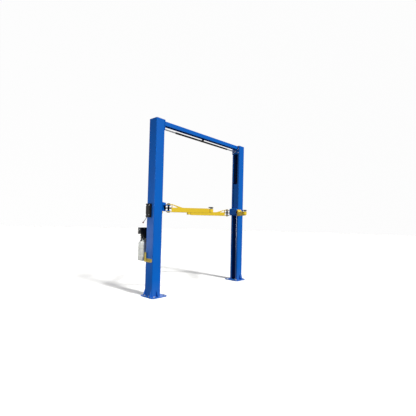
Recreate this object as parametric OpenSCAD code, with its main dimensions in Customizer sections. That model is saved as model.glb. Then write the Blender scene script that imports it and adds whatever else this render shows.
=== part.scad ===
// Two post car lift with an overhead crossbeam, swing arms and a power unit.
// X runs across the bay, from the power column at -X to the off column at +X.
// -Y is the front of the bay, +Z is up, and the floor is at Z = 0.
// The arms stand raised, as they do under a vehicle.

/* [Overall] */
// Height of the lift to the top of the cap plates
overall_h = 3861; // [3700:1:4300]
// Width over the outer faces of the two columns
span = 3280; // [3000:1:3600]
// Height of the underside of the arms when raised
raised_h = 1830; // [1700:5:1850]
// Height of the underside of the arms when lowered
lowered_h = 70; // [70:1:110]

/* [Columns] */
// Depth of a column across the bay
col_depth = 230; // [220:1:250]
// Width of a column along the bay
col_width = 254; // [240:1:280]
// Thickness of the folded column plate
col_wall = 6; // [5:0.5:8]
// Width of each lip beside the column's slot
col_lip = 55; // [45:1:58]
// Outer bend radius of the column plate
col_r = 18; // [14:1:22]
// Thickness of the cap plates
cap_t = 6; // [4:1:12]
// Thickness of the head plates
head_t = 12; // [8:1:16]
// Height of the head plates
head_h = 224; // [190:1:300]

/* [Base plates] */
// Thickness of the base plates
base_t = 18; // [12:1:25]
// Reach of a base plate outside its column
base_out = 60; // [50:1:90]
// Reach of a base plate inside its column
base_in = 135; // [110:1:180]
// Width of a base plate along the bay
base_w = 445; // [430:1:520]
// Size of the cut corners of a base plate
base_cut = 45; // [20:1:60]
// Diameter of the anchor holes
anchor_d = 22; // [18:1:26]
// Thickness of the gussets
gusset_t = 8; // [6:1:12]
// Height of the gussets on the outer face
gusset_h = 150; // [100:1:200]
// Reach of the gussets on the outer face
gusset_foot = 52; // [35:1:54]
// Height of the gussets on the side faces
side_gusset_h = 130; // [90:1:180]
// Reach of the gussets on the side faces
side_gusset_foot = 66; // [45:1:80]

/* [Crossbeam] */
// Width of the crossbeam channel
beam_w = 116; // [100:1:160]
// Height of the crossbeam channel
beam_h = 95; // [80:1:120]
// Thickness of the crossbeam plate
beam_wall = 5; // [4:0.5:8]
// Width of the crossbeam's bottom returns
beam_return = 16; // [10:1:25]

/* [Shut-off bar] */
// Drop from the crossbeam's underside to the bar's centre
bar_drop = 70; // [62:1:85]
// Diameter of the bar
bar_d = 30; // [24:1:34]
// Diameter of the padding on the bar
pad_d = 45; // [40:1:50]
// Length of the padding on the bar
pad_l = 1960; // [1500:10:2300]
// Diameter of the pin that the bar turns on
bar_pin_d = 12; // [8:1:14]

/* [Carriages] */
// Height of a carriage
carr_h = 920; // [800:10:1000]
// Thickness of the carriage walls
carr_wall = 8; // [6:1:10]
// Gap between a carriage and the back and sides of its column
carr_gap = 20; // [18:1:24]
// Height of each slide block
block_h = 120; // [80:1:160]
// Running clearance of the slide blocks
block_gap = 0.5; // [0.3:0.1:0.8]
// Height of the lug box
lug_box_h = 195; // [190:1:220]
// Thickness of the pin lugs
lug_t = 16; // [12:1:20]

/* [Arms] */
// Distance of the arm pins from the column's inner face
pivot_out = 100; // [96:1:120]
// Distance of the arm pins from the middle of the column
pivot_side = 203; // [200:1:230]
// Angle of the arms from the line along the bay
arm_angle = 45; // [30:1:60]
// Width and height of the outer arm tubes
arm_tube = 100; // [96:1:110]
// Thickness of the outer arm tubes
arm_wall = 10; // [8:1:11]
// Reach of the front outer tubes from their pins
front_reach = 873; // [800:1:950]
// Reach of the rear outer tubes from their pins
rear_reach = 1060; // [1000:1:1200]
// Height of the arm yokes
yoke_h = 175; // [170:1:190]
// Thickness of the arm yoke plates
yoke_t = 12; // [10:1:14]
// Distance from a pin to the face of its arm's end plate
yoke_throat = 68; // [66:1:120]
// Distance from a pin to where the ramp meets the tube
ramp_end = 310; // [260:1:350]
// Diameter of the arm pins
pin_d = 44; // [36:1:46]
// Thickness of the inner arm tubes
inner_wall = 8; // [6:1:10]
// Length of an inner arm behind its socket
inner_tail = 640; // [560:10:660]
// Play on each side of an inner arm in its tube
inner_play = 0.8; // [0.5:0.1:0.9]
// Outer diameter of the socket at the end of an inner arm
socket_d = 104; // [90:1:106]
// Diameter of the pad stem and of its socket bore
stem_d = 60; // [40:1:70]
// Thickness of the rubber pads
pad_t = 20; // [12:1:30]

/* [Arm restraints] */
// Number of teeth on a full restraint gear
gear_teeth = 20; // [16:1:28]
// Radius of a restraint gear over its teeth
gear_tip_r = 58; // [54:1:59]
// Depth of the restraint teeth
tooth_h = 11; // [8:1:12]
// Thickness of a restraint gear
gear_t = 25; // [15:1:35]

/* [Cylinders] */
// Outer diameter of a cylinder
cyl_d = 76; // [70:1:90]
// Bore of a cylinder
cyl_bore = 56; // [52:1:60]
// Diameter of a cylinder rod
rod_d = 45; // [35:1:48]

/* [Locks] */
// Drop from the underside of the raised arms to the bottom of the lock covers
cover_drop = 125; // [105:5:135]
// Height of the lock covers
cover_h = 295; // [240:1:340]
// Depth of the lock covers
cover_deep = 50; // [46:1:60]
// Front edge of the lock covers, from the middle of the column
cover_front = 35; // [30:1:45]
// Rear edge of the lock covers, from the middle of the column
cover_rear = 112; // [108:1:120]
// Thickness of the lock covers
cover_wall = 3; // [2:0.5:4]
// Width of the lock ladders
ladder_w = 60; // [50:1:70]
// Thickness of the lock ladders
ladder_t = 12; // [8:1:13]
// Distance between the rungs of a lock ladder
rung_pitch = 80; // [70:1:100]
// Height of the windows in a lock ladder
rung_gap = 50; // [40:1:60]
// Reach of the release lever's knob from the column
knob_out = 105; // [90:1:120]
// Drop from the bottom of the lock covers to the release lever's knob
knob_drop = 102; // [80:1:140]
// Diameter of the release lever's knob
knob_d = 34; // [28:1:40]

/* [Power unit] */
// Width of the fluid tank
tank_w = 210; // [190:1:230]
// Height of the fluid tank
tank_h = 450; // [350:1:500]
// Height of the tank's bottom
tank_z = 750; // [650:1:900]
// Corner radius of the fluid tank
tank_r = 50; // [36:1:60]
// Height of the tank's sloping shoulders
tank_shoulder = 70; // [40:1:100]
// Narrowing of the tank's walls from its bottom to its shoulders
tank_draft = 16; // [4:1:24]
// Gap between the tank and the column
tank_gap = 65; // [50:1:90]
// Distance of the power unit's middle from the column's outer face
unit_x = 75; // [60:1:110]
// Width of the pump block
pump_w = 110; // [90:1:130]
// Height of the pump block
pump_h = 40; // [30:1:60]
// Diameter of the motor
motor_d = 150; // [130:1:170]
// Height of the motor
motor_h = 240; // [200:1:280]
// Reach of the control box from the motor's middle
box_reach = 132; // [120:1:150]
// Height of the control box
box_h = 142; // [110:1:160]

/* [Adapter rack] */
// Height of the rack's lower edge
rack_z = 750; // [650:5:900]
// Height of the rack's back plate
rack_h = 70; // [50:1:90]
// Height of the rack's end plate above its back plate
rack_tall = 130; // [90:1:160]
// Thickness of the rack's plate
rack_t = 4; // [3:0.5:6]
// Depth of the rack's ledge
rack_ledge = 45; // [30:1:60]

/* [Hidden] */
$fn = 64;

// Sides of the bay and ends of the lift
POWER = -1;
OFF = 1;
FRONT = -1;
REAR = 1;

// Colours
blue = "#1062c0";
yellow = "#f0ce3c";
black = "#15161a";
steel = "#b9bcc0";
oil_white = "#d6d8d4";

// Clearances between pieces that move past each other
run_gap = 5;
pin_gap = 0.5;
seat_gap = 0.3;

// Heights
travel = raised_h - lowered_h;
col_top = overall_h - cap_t;
beam_top = col_top;
beam_z = beam_top - beam_h;
bar_z = beam_z - bar_drop;
carr_z = raised_h + 10;
carr_top = carr_z + carr_h;
yoke_top = raised_h + yoke_h;

// Column channel
slot_w = col_width - 2 * col_lip;
inner_r = col_r - col_wall;
lip_in = col_depth - col_wall;
half_in = col_width / 2 - col_wall;

// Carriage tube, behind the column's lips
carr_x0 = col_wall + carr_gap;
carr_x1 = lip_in - 14;
carr_half = half_in - 26;
cyl_x = (carr_x0 + carr_x1) / 2;
neck_half = slot_w / 2 - 10;

// Lug box and arm pins
box_x0 = col_depth + run_gap + 1;
pivot_x = col_depth + pivot_out;
box_half = pivot_side - gear_tip_r - run_gap - tooth_h - 14;
box_z = raised_h + 25;
box_taper = 15;
lug_low_z = raised_h + yoke_t + run_gap;
lug_high_z = yoke_top - yoke_t - run_gap - lug_t;
lug_r = pin_d / 2 + 24;
yoke_r = arm_tube / 2;
gear_z = raised_h + yoke_h / 2 - gear_t / 2;

// Inner arms
inner_tube = arm_tube - 2 * arm_wall - 2 * inner_play;
inner_z = raised_h + arm_wall + inner_play;
socket_gap = run_gap;
flange_z = raised_h + arm_tube + run_gap + 1;
flange_t = 8;

// Cylinders: the rod stands on the base plate and the cylinder rides on it
gland_h = 40;
piston_h = 60;
rod_top = carr_z + gland_h + piston_h;
cyl_end = 20;
cyl_len = travel + gland_h + piston_h + 10 + cyl_end;
collar_h = 12;
collar_d = cyl_d + 24;
seat_t = 12;

// Locks: a dog leans through the column's window and stands under a rung of the ladder
cover_z = raised_h - cover_drop;
knob_z = cover_z - knob_drop;
shaft_x = -18;
shaft_z = cover_z + 55;
shaft_d = 14;
dog_t = 16;
ladder_drop = lowered_h + 10 - base_t - run_gap - 2;
ladder_x = carr_x0 - ladder_t;
ladder_z = carr_z - ladder_drop;
ladder_len = travel + ladder_drop + 40;
nose_x = ladder_x - run_gap - 1;
nose_z = ladder_z + rung_pitch - run_gap;
window_w = dog_t + 12;
window_z = shaft_z + 12;
window_h = nose_z + 16 - window_z;
lever_y = cover_rear - 18;
lever_d = 12;

// Power unit
unit_y = col_width / 2 + tank_gap + tank_w / 2;
pump_z = tank_z + tank_h;
motor_z = pump_z + pump_h;

module side(s) {
    if (s == POWER)
        translate([-span / 2, 0, 0]) children();
    else
        mirror([1, 0, 0]) translate([-span / 2, 0, 0]) children();
}

module both_sides() {
    side(POWER) children();
    side(OFF) children();
}

// Children are drawn in an arm's own frame: its pin at the origin, the arm along +X
module arm_frame(s, e) {
    side(s)
        translate([pivot_x, e * pivot_side, 0])
            rotate([0, 0, e * (90 - arm_angle)])
                children();
}

module rounded(w, h, r) {
    square([w - 2 * r, h], center = true);
    square([w, h - 2 * r], center = true);
    for (i = [-1, 1], j = [-1, 1])
        translate([i * (w / 2 - r), j * (h / 2 - r)]) circle(r);
}

// A bar along X from x0 to x1 with its profile drawn in Y and Z
module along_x(x0, x1) {
    translate([x0, 0, 0])
        rotate([90, 0, 90])
            linear_extrude(x1 - x0)
                children();
}

// A plate with its outline drawn in X and Z, from y0 to y1
module across_y(y0, y1) {
    translate([0, y1, 0])
        rotate([90, 0, 0])
            linear_extrude(y1 - y0)
                children();
}

anchor_outer = [-base_out / 2 - 2, 75];
anchor_middle = [20, base_w / 2 - 42];
anchor_inner = [col_depth + base_in - 50, base_w / 2 - 72];

module anchor_holes() {
    for (p = [anchor_outer, anchor_middle, anchor_inner], e = [FRONT, REAR])
        translate([p[0], e * p[1], -1])
            cylinder(d = anchor_d, h = base_t + 2);
}

module base_plates() {
    x0 = -base_out;
    x1 = col_depth + base_in;
    y1 = base_w / 2;
    color(blue)
        both_sides()
            difference() {
                linear_extrude(base_t)
                    polygon([
                        [x0 + base_cut, -y1], [x1 - base_cut, -y1], [x1, base_cut - y1],
                        [x1, y1 - base_cut], [x1 - base_cut, y1], [x0 + base_cut, y1],
                        [x0, y1 - base_cut], [x0, base_cut - y1]
                    ]);
                anchor_holes();
            }
}

// A gusset's outline: foot along +X, height along +Y, with blunt ends
module gusset_outline(foot, h) {
    toe = 18;
    polygon([[0, 0], [foot, 0], [foot, toe], [toe / 2, h], [0, h]]);
}

module gussets() {
    flat = col_width / 2 - col_r - 1;
    color(blue)
        both_sides()
            translate([0, 0, base_t]) {
                for (y = [-flat, flat - gusset_t])
                    mirror([1, 0, 0])
                        across_y(y, y + gusset_t)
                            gusset_outline(gusset_foot, gusset_h);
                for (e = [FRONT, REAR])
                    translate([(col_depth - gusset_t) / 2, e * col_width / 2, 0])
                        mirror([0, e == FRONT ? 1 : 0, 0])
                            along_x(0, gusset_t)
                                gusset_outline(side_gusset_foot, side_gusset_h);
            }
}

module column_section() {
    translate([col_depth / 2, 0])
        difference() {
            rounded(col_depth, col_width, col_r);
            rounded(col_depth - 2 * col_wall, col_width - 2 * col_wall, inner_r);
            translate([0, -slot_w / 2]) square([col_depth, slot_w]);
        }
}

module column(s) {
    color(blue)
        side(s)
            difference() {
                translate([0, 0, base_t])
                    linear_extrude(col_top - base_t)
                        column_section();
                translate([-1, -window_w / 2, window_z])
                    cube([col_wall + 2, window_w, window_h]);
            }
}

module cap_plates() {
    w = col_depth + head_t;
    color(blue)
        both_sides()
            translate([w / 2, 0, col_top])
                linear_extrude(cap_t)
                    rounded(w, col_width, col_r);
}

module head_plates() {
    color(blue)
        both_sides()
            translate([col_depth, -col_width / 2, col_top - head_h])
                cube([head_t, col_width, head_h]);
}

module beam_section() {
    difference() {
        translate([-beam_w / 2, 0]) square([beam_w, beam_h]);
        translate([-beam_w / 2 + beam_wall, beam_wall])
            square([beam_w - 2 * beam_wall, beam_h - 2 * beam_wall]);
        translate([-beam_w / 2 + beam_return, -1])
            square([beam_w - 2 * beam_return, beam_wall + 2]);
    }
}

module crossbeam() {
    beam_end = span / 2 - col_depth - head_t;
    color(blue)
        translate([0, 0, beam_z])
            along_x(-beam_end, beam_end)
                beam_section();
}

bracket_reach = 48;
bracket_t = 6;
cheek_in = bar_d / 2 + 3;
bar_hinge_x = col_depth + head_t + 33;
bar_far_gap = 12;
bar_lift = 45;

// Clevis for the bar on the power side, with its pin, and the cradle that it rests in
module bar_brackets() {
    wall = col_depth + head_t;
    color(steel) {
        side(POWER) {
            for (e = [FRONT, REAR])
                translate([wall, e > 0 ? cheek_in : -cheek_in - bracket_t, bar_z - 22])
                    cube([bracket_reach, bracket_t, 44]);
            translate([wall, -cheek_in - bracket_t, bar_z - 22])
                cube([bracket_t, 2 * (cheek_in + bracket_t), 44]);
            translate([bar_hinge_x, cheek_in + bracket_t + 4, bar_z])
                rotate([90, 0, 0])
                    cylinder(d = bar_pin_d, h = 2 * (cheek_in + bracket_t + 4));
        }
        side(OFF) {
            floor_z = bar_z - bar_d / 2 - seat_gap - bracket_t;
            translate([wall, -cheek_in - bracket_t, floor_z])
                cube([bracket_reach, 2 * (cheek_in + bracket_t), bracket_t]);
            for (e = [FRONT, REAR])
                translate([wall, e > 0 ? cheek_in : -cheek_in - bracket_t, floor_z])
                    cube([bracket_reach, bracket_t, bar_d + bar_lift]);
        }
    }
}

module shutoff_bar() {
    x0 = -span / 2 + bar_hinge_x - bar_d / 2;
    x1 = span / 2 - col_depth - head_t - bar_far_gap;
    color(steel)
        difference() {
            translate([x0, 0, bar_z])
                rotate([0, 90, 0])
                    cylinder(d = bar_d, h = x1 - x0);
            translate([-span / 2 + bar_hinge_x, bar_d, bar_z])
                rotate([90, 0, 0])
                    cylinder(d = bar_pin_d + 2 * pin_gap, h = 2 * bar_d);
        }
}

module bar_padding() {
    color(black)
        translate([-pad_l / 2, 0, bar_z])
            rotate([0, 90, 0])
                difference() {
                    cylinder(d = pad_d, h = pad_l);
                    translate([0, 0, -1]) cylinder(d = bar_d, h = pad_l + 2);
                }
}

switch_x = 20;
switch_l = 50;
switch_w = 26;
switch_h = 56;
roller_d = 16;

// Switch box under the crossbeam's rear return, with its roller arm over the bar
module limit_switch() {
    y0 = beam_w / 2 - switch_w;
    color(black)
        translate([switch_x, 0, 0]) {
            translate([-switch_l / 2, y0, beam_z - switch_h])
                cube([switch_l, switch_w, switch_h]);
            translate([-5, -8, beam_z - 18]) cube([10, y0 + 8, 6]);
            translate([-5, 0, beam_z - 15])
                rotate([0, 90, 0])
                    cylinder(d = roller_d, h = 10);
        }
}

module cylinder_rods() {
    color(steel)
        both_sides()
            translate([cyl_x, 0, base_t]) {
                cylinder(d = rod_d, h = rod_top - base_t);
                cylinder(d = rod_d + 24, h = 16);
                translate([0, 0, rod_top - base_t - piston_h])
                    cylinder(d = cyl_bore - 2 * pin_gap, h = piston_h);
            }
}

module carriage_tube() {
    difference() {
        translate([carr_x0, -carr_half, carr_z])
            cube([carr_x1 - carr_x0, 2 * carr_half, carr_h]);
        translate([carr_x0 + carr_wall, carr_wall - carr_half, carr_z - 1])
            cube([carr_x1 - carr_x0 - 2 * carr_wall, 2 * (carr_half - carr_wall), carr_h + 2]);
    }
}

// Plate across the carriage tube that holds the cylinder
module cylinder_seat(z) {
    difference() {
        translate([carr_x0 + carr_wall / 2, carr_wall / 2 - carr_half, z])
            cube([carr_x1 - carr_x0 - carr_wall, 2 * carr_half - carr_wall, seat_t]);
        translate([cyl_x, 0, z - 1]) cylinder(d = cyl_d + 2 * seat_gap, h = seat_t + 2);
    }
}

// Side view of the lug box, tapered away from the column
module lug_box_outline() {
    polygon([
        [box_x0, box_z], [pivot_x, box_z + box_taper],
        [pivot_x, box_z + lug_box_h - box_taper], [box_x0, box_z + lug_box_h]
    ]);
}

module lug(z) {
    translate([0, 0, z])
        linear_extrude(lug_t)
            for (e = [FRONT, REAR])
                difference() {
                    union() {
                        translate([pivot_x, e * pivot_side]) circle(lug_r);
                        polygon([
                            [box_x0 + 8, e * (box_half - 2)], [pivot_x - 2, e * (box_half - 2)],
                            [pivot_x + lug_r, e * pivot_side], [pivot_x - lug_r, e * pivot_side]
                        ]);
                    }
                    translate([pivot_x, e * pivot_side]) circle(d = pin_d + 2 * seat_gap);
                }
}

module carriage(s) {
    wall = 12;
    color(blue)
        side(s) {
            carriage_tube();
            cylinder_seat(carr_z);
            cylinder_seat(carr_top - seat_t);
            difference() {
                across_y(-box_half, box_half) lug_box_outline();
                translate([box_x0 + wall, wall - box_half, box_z + box_taper + wall])
                    cube([
                        pivot_x - box_x0 - 2 * wall, 2 * (box_half - wall),
                        lug_box_h - 2 * (box_taper + wall)
                    ]);
            }
            translate([carr_x1 - carr_wall / 2, -neck_half, box_z + box_taper])
                cube([
                    box_x0 - carr_x1 + carr_wall / 2 + 1, 2 * neck_half,
                    lug_box_h - 2 * box_taper
                ]);
            lug(lug_low_z);
            lug(lug_high_z);
        }
}

// Blocks at one corner of the carriage: a square with its column corner cut away
module slide_block_section(front) {
    x0 = front ? carr_x1 - 40 : col_wall + block_gap;
    x1 = front ? lip_in - block_gap : carr_x0 + 40;
    y0 = slot_w / 2 + 4;
    y1 = half_in - block_gap;
    cut = inner_r + 1;
    difference() {
        polygon(
            front
            ? [[x0, y0], [x1, y0], [x1, y1 - cut], [x1 - cut, y1], [x0, y1]]
            : [[x0, y0], [x1, y0], [x1, y1], [x0 + cut, y1], [x0, y1 - cut]]
        );
        translate([carr_x0, 0]) square([carr_x1 - carr_x0, carr_half]);
    }
}

module slide_blocks(s) {
    color(black)
        side(s)
            for (z = [carr_z + 10, carr_top - block_h - 10], e = [0, 1], front = [true, false])
                translate([0, 0, z])
                    mirror([0, e, 0])
                        linear_extrude(block_h)
                            slide_block_section(front);
}

module lift_cylinder(s) {
    color(black)
        side(s)
            translate([cyl_x, 0, carr_z])
                difference() {
                    union() {
                        cylinder(d = cyl_d, h = cyl_len);
                        translate([0, 0, carr_h - seat_t - collar_h])
                            cylinder(d = collar_d, h = collar_h);
                    }
                    translate([0, 0, gland_h])
                        cylinder(d = cyl_bore, h = cyl_len - gland_h - cyl_end);
                    translate([0, 0, -1]) cylinder(d = rod_d + 2 * pin_gap, h = gland_h + 2);
                }
}

pin_head_t = 10;
pin_collar_t = 6;

module arm_pins(s) {
    low = raised_h - run_gap - pin_collar_t;
    high = yoke_top + run_gap;
    color(steel)
        side(s)
            for (e = [FRONT, REAR])
                translate([pivot_x, e * pivot_side, 0]) {
                    translate([0, 0, low]) cylinder(d = pin_d, h = high + pin_head_t - low);
                    translate([0, 0, high]) cylinder(d = pin_d + 20, h = pin_head_t);
                    translate([0, 0, low]) cylinder(d = pin_d + 12, h = pin_collar_t);
                }
}

// Outline of a gear with straight-sided teeth between two radii
module gear_outline(root_r, tip_r) {
    pitch = 360 / gear_teeth;
    polygon([
        for (i = [0 : gear_teeth - 1], c = [[-0.36, root_r], [-0.16, tip_r], [0.16, tip_r], [0.36, root_r]])
            let (a = (i + c[0]) * pitch) c[1] * [cos(a), sin(a)]
    ]);
}

// The gear turns with the arm, and its flat tail is welded to the arm's end plate
module restraint_gear(s, e) {
    tail_half = gear_tip_r / 2;
    color(black)
        arm_frame(s, e)
            translate([0, 0, gear_z])
                linear_extrude(gear_t)
                    difference() {
                        union() {
                            gear_outline(gear_tip_r - tooth_h, gear_tip_r);
                            translate([gear_tip_r / 2, -tail_half])
                                square([yoke_throat - gear_tip_r / 2, 2 * tail_half]);
                        }
                        circle(d = pin_d + 16);
                    }
}

// Toothed blocks on the lug box, drawn back from the gears
module restraint_pawls(s) {
    half = 26;
    near = gear_tip_r + run_gap;
    far = pivot_side - box_half;
    color(black)
        side(s)
            for (e = [FRONT, REAR])
                translate([pivot_x - half - 2, e * pivot_side, gear_z - 4])
                    linear_extrude(gear_t + 8)
                        mirror([0, e == REAR ? 1 : 0])
                            difference() {
                                translate([-half, near - 3]) square([2 * half, far - near + 3]);
                                translate([half + 2, 0]) gear_outline(near, near + tooth_h);
                            }
}

module lock_ladder(s) {
    rail = 12;
    color(steel)
        side(s)
            translate([ladder_x, -ladder_w / 2, ladder_z])
                difference() {
                    cube([ladder_t, ladder_w, ladder_len]);
                    for (z = [rung_pitch - rung_gap : rung_pitch : ladder_len - rung_gap - 5])
                        translate([-1, rail, z]) cube([ladder_t + 2, ladder_w - 2 * rail, rung_gap]);
                }
}

// Side view of an arm's yoke: bottom plate, end plate, top plate and ramp
module yoke_outline() {
    z0 = raised_h;
    tube_top = raised_h + arm_tube;
    back = yoke_throat + yoke_t;
    toe = 2;
    ramp_inner = back + (ramp_end - back) * 0.57;
    difference() {
        polygon([
            [0, z0], [back, z0], [back, tube_top], [ramp_end, tube_top],
            [ramp_end, tube_top + toe], [back, yoke_top], [0, yoke_top]
        ]);
        translate([-1, z0 + yoke_t]) square([yoke_throat + 1, yoke_h - 2 * yoke_t]);
        polygon([[back, tube_top], [ramp_inner, tube_top], [back, yoke_top - yoke_t - toe]]);
    }
}

module arm(s, e) {
    reach = e == FRONT ? front_reach : rear_reach;
    color(yellow)
        arm_frame(s, e)
            difference() {
                union() {
                    across_y(-yoke_r, yoke_r) yoke_outline();
                    for (z = [raised_h, yoke_top - yoke_t])
                        translate([0, 0, z]) cylinder(r = yoke_r, h = yoke_t);
                    translate([yoke_throat + yoke_t - 1, -yoke_r, raised_h])
                        cube([reach - yoke_throat - yoke_t + 1, arm_tube, arm_tube]);
                }
                translate([yoke_throat + yoke_t, arm_wall - yoke_r, raised_h + arm_wall])
                    cube([reach, arm_tube - 2 * arm_wall, arm_tube - 2 * arm_wall]);
                translate([0, 0, raised_h - 1])
                    cylinder(d = pin_d + 2 * pin_gap, h = yoke_h + 2);
            }
}

function socket_x(e) = (e == FRONT ? front_reach : rear_reach) + socket_gap + socket_d / 2;

module inner_arm(s, e) {
    half = inner_tube / 2;
    color(yellow)
        arm_frame(s, e)
            translate([socket_x(e), 0, inner_z])
                difference() {
                    union() {
                        cylinder(d = socket_d, h = inner_tube);
                        translate([-inner_tail, -half, 0])
                            difference() {
                                cube([inner_tail, inner_tube, inner_tube]);
                                translate([-1, inner_wall, inner_wall])
                                    cube([
                                        inner_tail - socket_d / 2,
                                        inner_tube - 2 * inner_wall,
                                        inner_tube - 2 * inner_wall
                                    ]);
                            }
                    }
                    translate([0, 0, -1])
                        cylinder(d = stem_d + 2 * seat_gap, h = inner_tube + 2);
                }
}

module pad_stem(s, e) {
    color(steel)
        arm_frame(s, e)
            translate([socket_x(e), 0, 0]) {
                translate([0, 0, inner_z]) cylinder(d = stem_d, h = flange_z - inner_z);
                translate([0, 0, flange_z]) cylinder(d = socket_d, h = flange_t);
                translate([0, 0, inner_z + inner_tube + seat_gap])
                    cylinder(d = stem_d + 18, h = flange_z - inner_z - inner_tube - seat_gap);
            }
}

module rubber_pad(s, e) {
    color(black)
        arm_frame(s, e)
            translate([socket_x(e), 0, flange_z + flange_t])
                cylinder(d = socket_d, h = pad_t);
}

// Plan of a lock cover, shrunk by a wall thickness for its inside
module cover_outline(wall) {
    bevel = 12;
    x0 = wall - cover_deep;
    y0 = wall - cover_front;
    y1 = cover_rear - wall;
    polygon([
        [0, y0], [x0 + bevel, y0], [x0, y0 + bevel],
        [x0, y1 - bevel], [x0 + bevel, y1], [0, y1]
    ]);
}

module latch_covers() {
    color(black)
        both_sides()
            translate([0, 0, cover_z])
                difference() {
                    linear_extrude(cover_h) cover_outline(0);
                    translate([0, 0, -1])
                        linear_extrude(cover_h - cover_wall + 1)
                            intersection() {
                                cover_outline(cover_wall);
                                translate([-cover_deep, -cover_front])
                                    square([cover_deep + 1, cover_front + cover_rear]);
                            }
                }
}

mount_t = 8;
mount_ys = [-cover_front + 8, 24];

// Two ears on each column's outer face carry the lock shaft
module latch_mounts() {
    color(steel)
        both_sides()
            for (y = mount_ys)
                difference() {
                    across_y(y, y + mount_t)
                        union() {
                            translate([shaft_x - 4, shaft_z - 14]) square([4 - shaft_x, 28]);
                            translate([shaft_x, shaft_z]) circle(14);
                        }
                    translate([shaft_x, y + mount_t + 1, shaft_z])
                        rotate([90, 0, 0])
                            cylinder(d = shaft_d + 2 * pin_gap, h = mount_t + 2);
                }
}

// A rod along the lock shaft's axis
module latch_shaft(y0, y1, d = shaft_d) {
    translate([shaft_x, y1, shaft_z])
        rotate([90, 0, 0])
            cylinder(d = d, h = y1 - y0);
}

// The dog stands up from its hub, and its flat nose is drawn back from the ladder
module latch_dog() {
    hub_half = dog_t / 2 + 3;
    nose_w = 16;
    nose_h = 20;
    difference() {
        union() {
            latch_shaft(-hub_half, hub_half, shaft_d + 16);
            across_y(-dog_t / 2, dog_t / 2)
                polygon([
                    [shaft_x - 14, shaft_z], [shaft_x + 12, shaft_z - 6],
                    [nose_x, nose_z - nose_h], [nose_x, nose_z], [nose_x - nose_w, nose_z]
                ]);
        }
        latch_shaft(-dog_t, dog_t);
    }
}

module power_latch_dog() {
    color(steel) side(POWER) latch_dog();
}

module off_latch_dog() {
    color(steel)
        side(OFF) {
            latch_dog();
            latch_shaft(mount_ys[0], mount_ys[1] + mount_t + 4);
        }
}

lever_bend_x = shaft_x - 14;
lever_bend_z = cover_z - 12;

module rod_between(a, b, d) {
    v = b - a;
    l = norm(v);
    translate(a)
        rotate([0, acos(v[2] / l), atan2(v[1], v[0])])
            cylinder(d = d, h = l);
}

module release_lever() {
    knee = [lever_bend_x, lever_y, lever_bend_z];
    end = [-knob_out, lever_y, knob_z];
    color(steel)
        side(POWER) {
            latch_shaft(mount_ys[0], lever_y + 8);
            translate([shaft_x, lever_y + 8, shaft_z])
                rotate([90, 0, 0])
                    cylinder(d = shaft_d + 12, h = 16);
            rod_between([shaft_x, lever_y, shaft_z], knee, lever_d);
            translate(knee) sphere(d = lever_d + 1);
            rod_between(knee, end, lever_d);
        }
}

module lever_knob() {
    reach = [-knob_out - lever_bend_x, 0, knob_z - lever_bend_z];
    u = reach / norm(reach);
    centre = [-knob_out, lever_y, knob_z] + u * knob_d / 2;
    color("#7a1416")
        side(POWER)
            translate(centre) sphere(d = knob_d);
}

// Folded bracket on the column's rear face that carries the pump block
module power_unit_bracket() {
    t = 6;
    edge = 10;
    rise = 50;
    wall_y = col_width / 2;
    front_y = unit_y - pump_w / 2;
    color(blue)
        side(POWER) {
            translate([unit_x - pump_w / 2 - edge, wall_y, pump_z - rise - edge])
                cube([pump_w + 2 * edge, t, pump_h + 2 * rise + edge]);
            for (x = [unit_x - pump_w / 2, unit_x + pump_w / 2 - t])
                translate([x, wall_y + t, pump_z]) cube([t, front_y - wall_y - t, pump_h]);
            translate([unit_x - pump_w / 2, front_y - t, pump_z])
                cube([pump_w, t, pump_h]);
        }
}

module pump_block() {
    color(steel)
        side(POWER)
            translate([unit_x, unit_y, pump_z])
                linear_extrude(pump_h)
                    rounded(pump_w, pump_w, 8);
}

// Motor with its end bell, and ribs around the middle
module motor() {
    rib = 4;
    ribs = 7;
    rib_pitch = 14;
    bell = 50;
    first = motor_h - bell - 80;
    color(black)
        side(POWER)
            translate([unit_x, unit_y, motor_z])
                difference() {
                    union() {
                        cylinder(d = motor_d, h = motor_h - 10);
                        cylinder(d = motor_d - 20, h = motor_h);
                    }
                    for (i = [0 : ribs - 1])
                        translate([0, 0, first - i * rib_pitch])
                            difference() {
                                cylinder(d = motor_d + 2, h = rib_pitch - rib);
                                translate([0, 0, -1])
                                    cylinder(d = motor_d - 2 * rib, h = rib_pitch);
                            }
                }
}

module control_box() {
    w = 100;
    color(black)
        side(POWER)
            difference() {
                translate([unit_x - box_reach, unit_y - w / 2, motor_z + motor_h - box_h])
                    cube([box_reach, w, box_h]);
                translate([unit_x, unit_y, motor_z]) cylinder(d = motor_d, h = motor_h + 1);
            }
}

// One level of the fluid tank: a rounded square, a given amount narrower than the tank
module tank_level(z, inset) {
    w = tank_w - 2 * inset;
    translate([0, 0, z])
        linear_extrude(1)
            rounded(w, w, tank_r - inset / 2);
}

// Moulded tank: a rounded foot, walls with a slight draft, and shoulders up to the pump block
module fluid_tank() {
    foot = 24;
    neck = (tank_w - pump_w) / 2 - 10;
    color(oil_white)
        side(POWER)
            translate([unit_x, unit_y, tank_z])
                hull() {
                    tank_level(0, foot);
                    tank_level(foot, 0);
                    tank_level(tank_h - tank_shoulder, tank_draft / 2);
                    tank_level(tank_h - 1, neck);
                }
}

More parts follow.
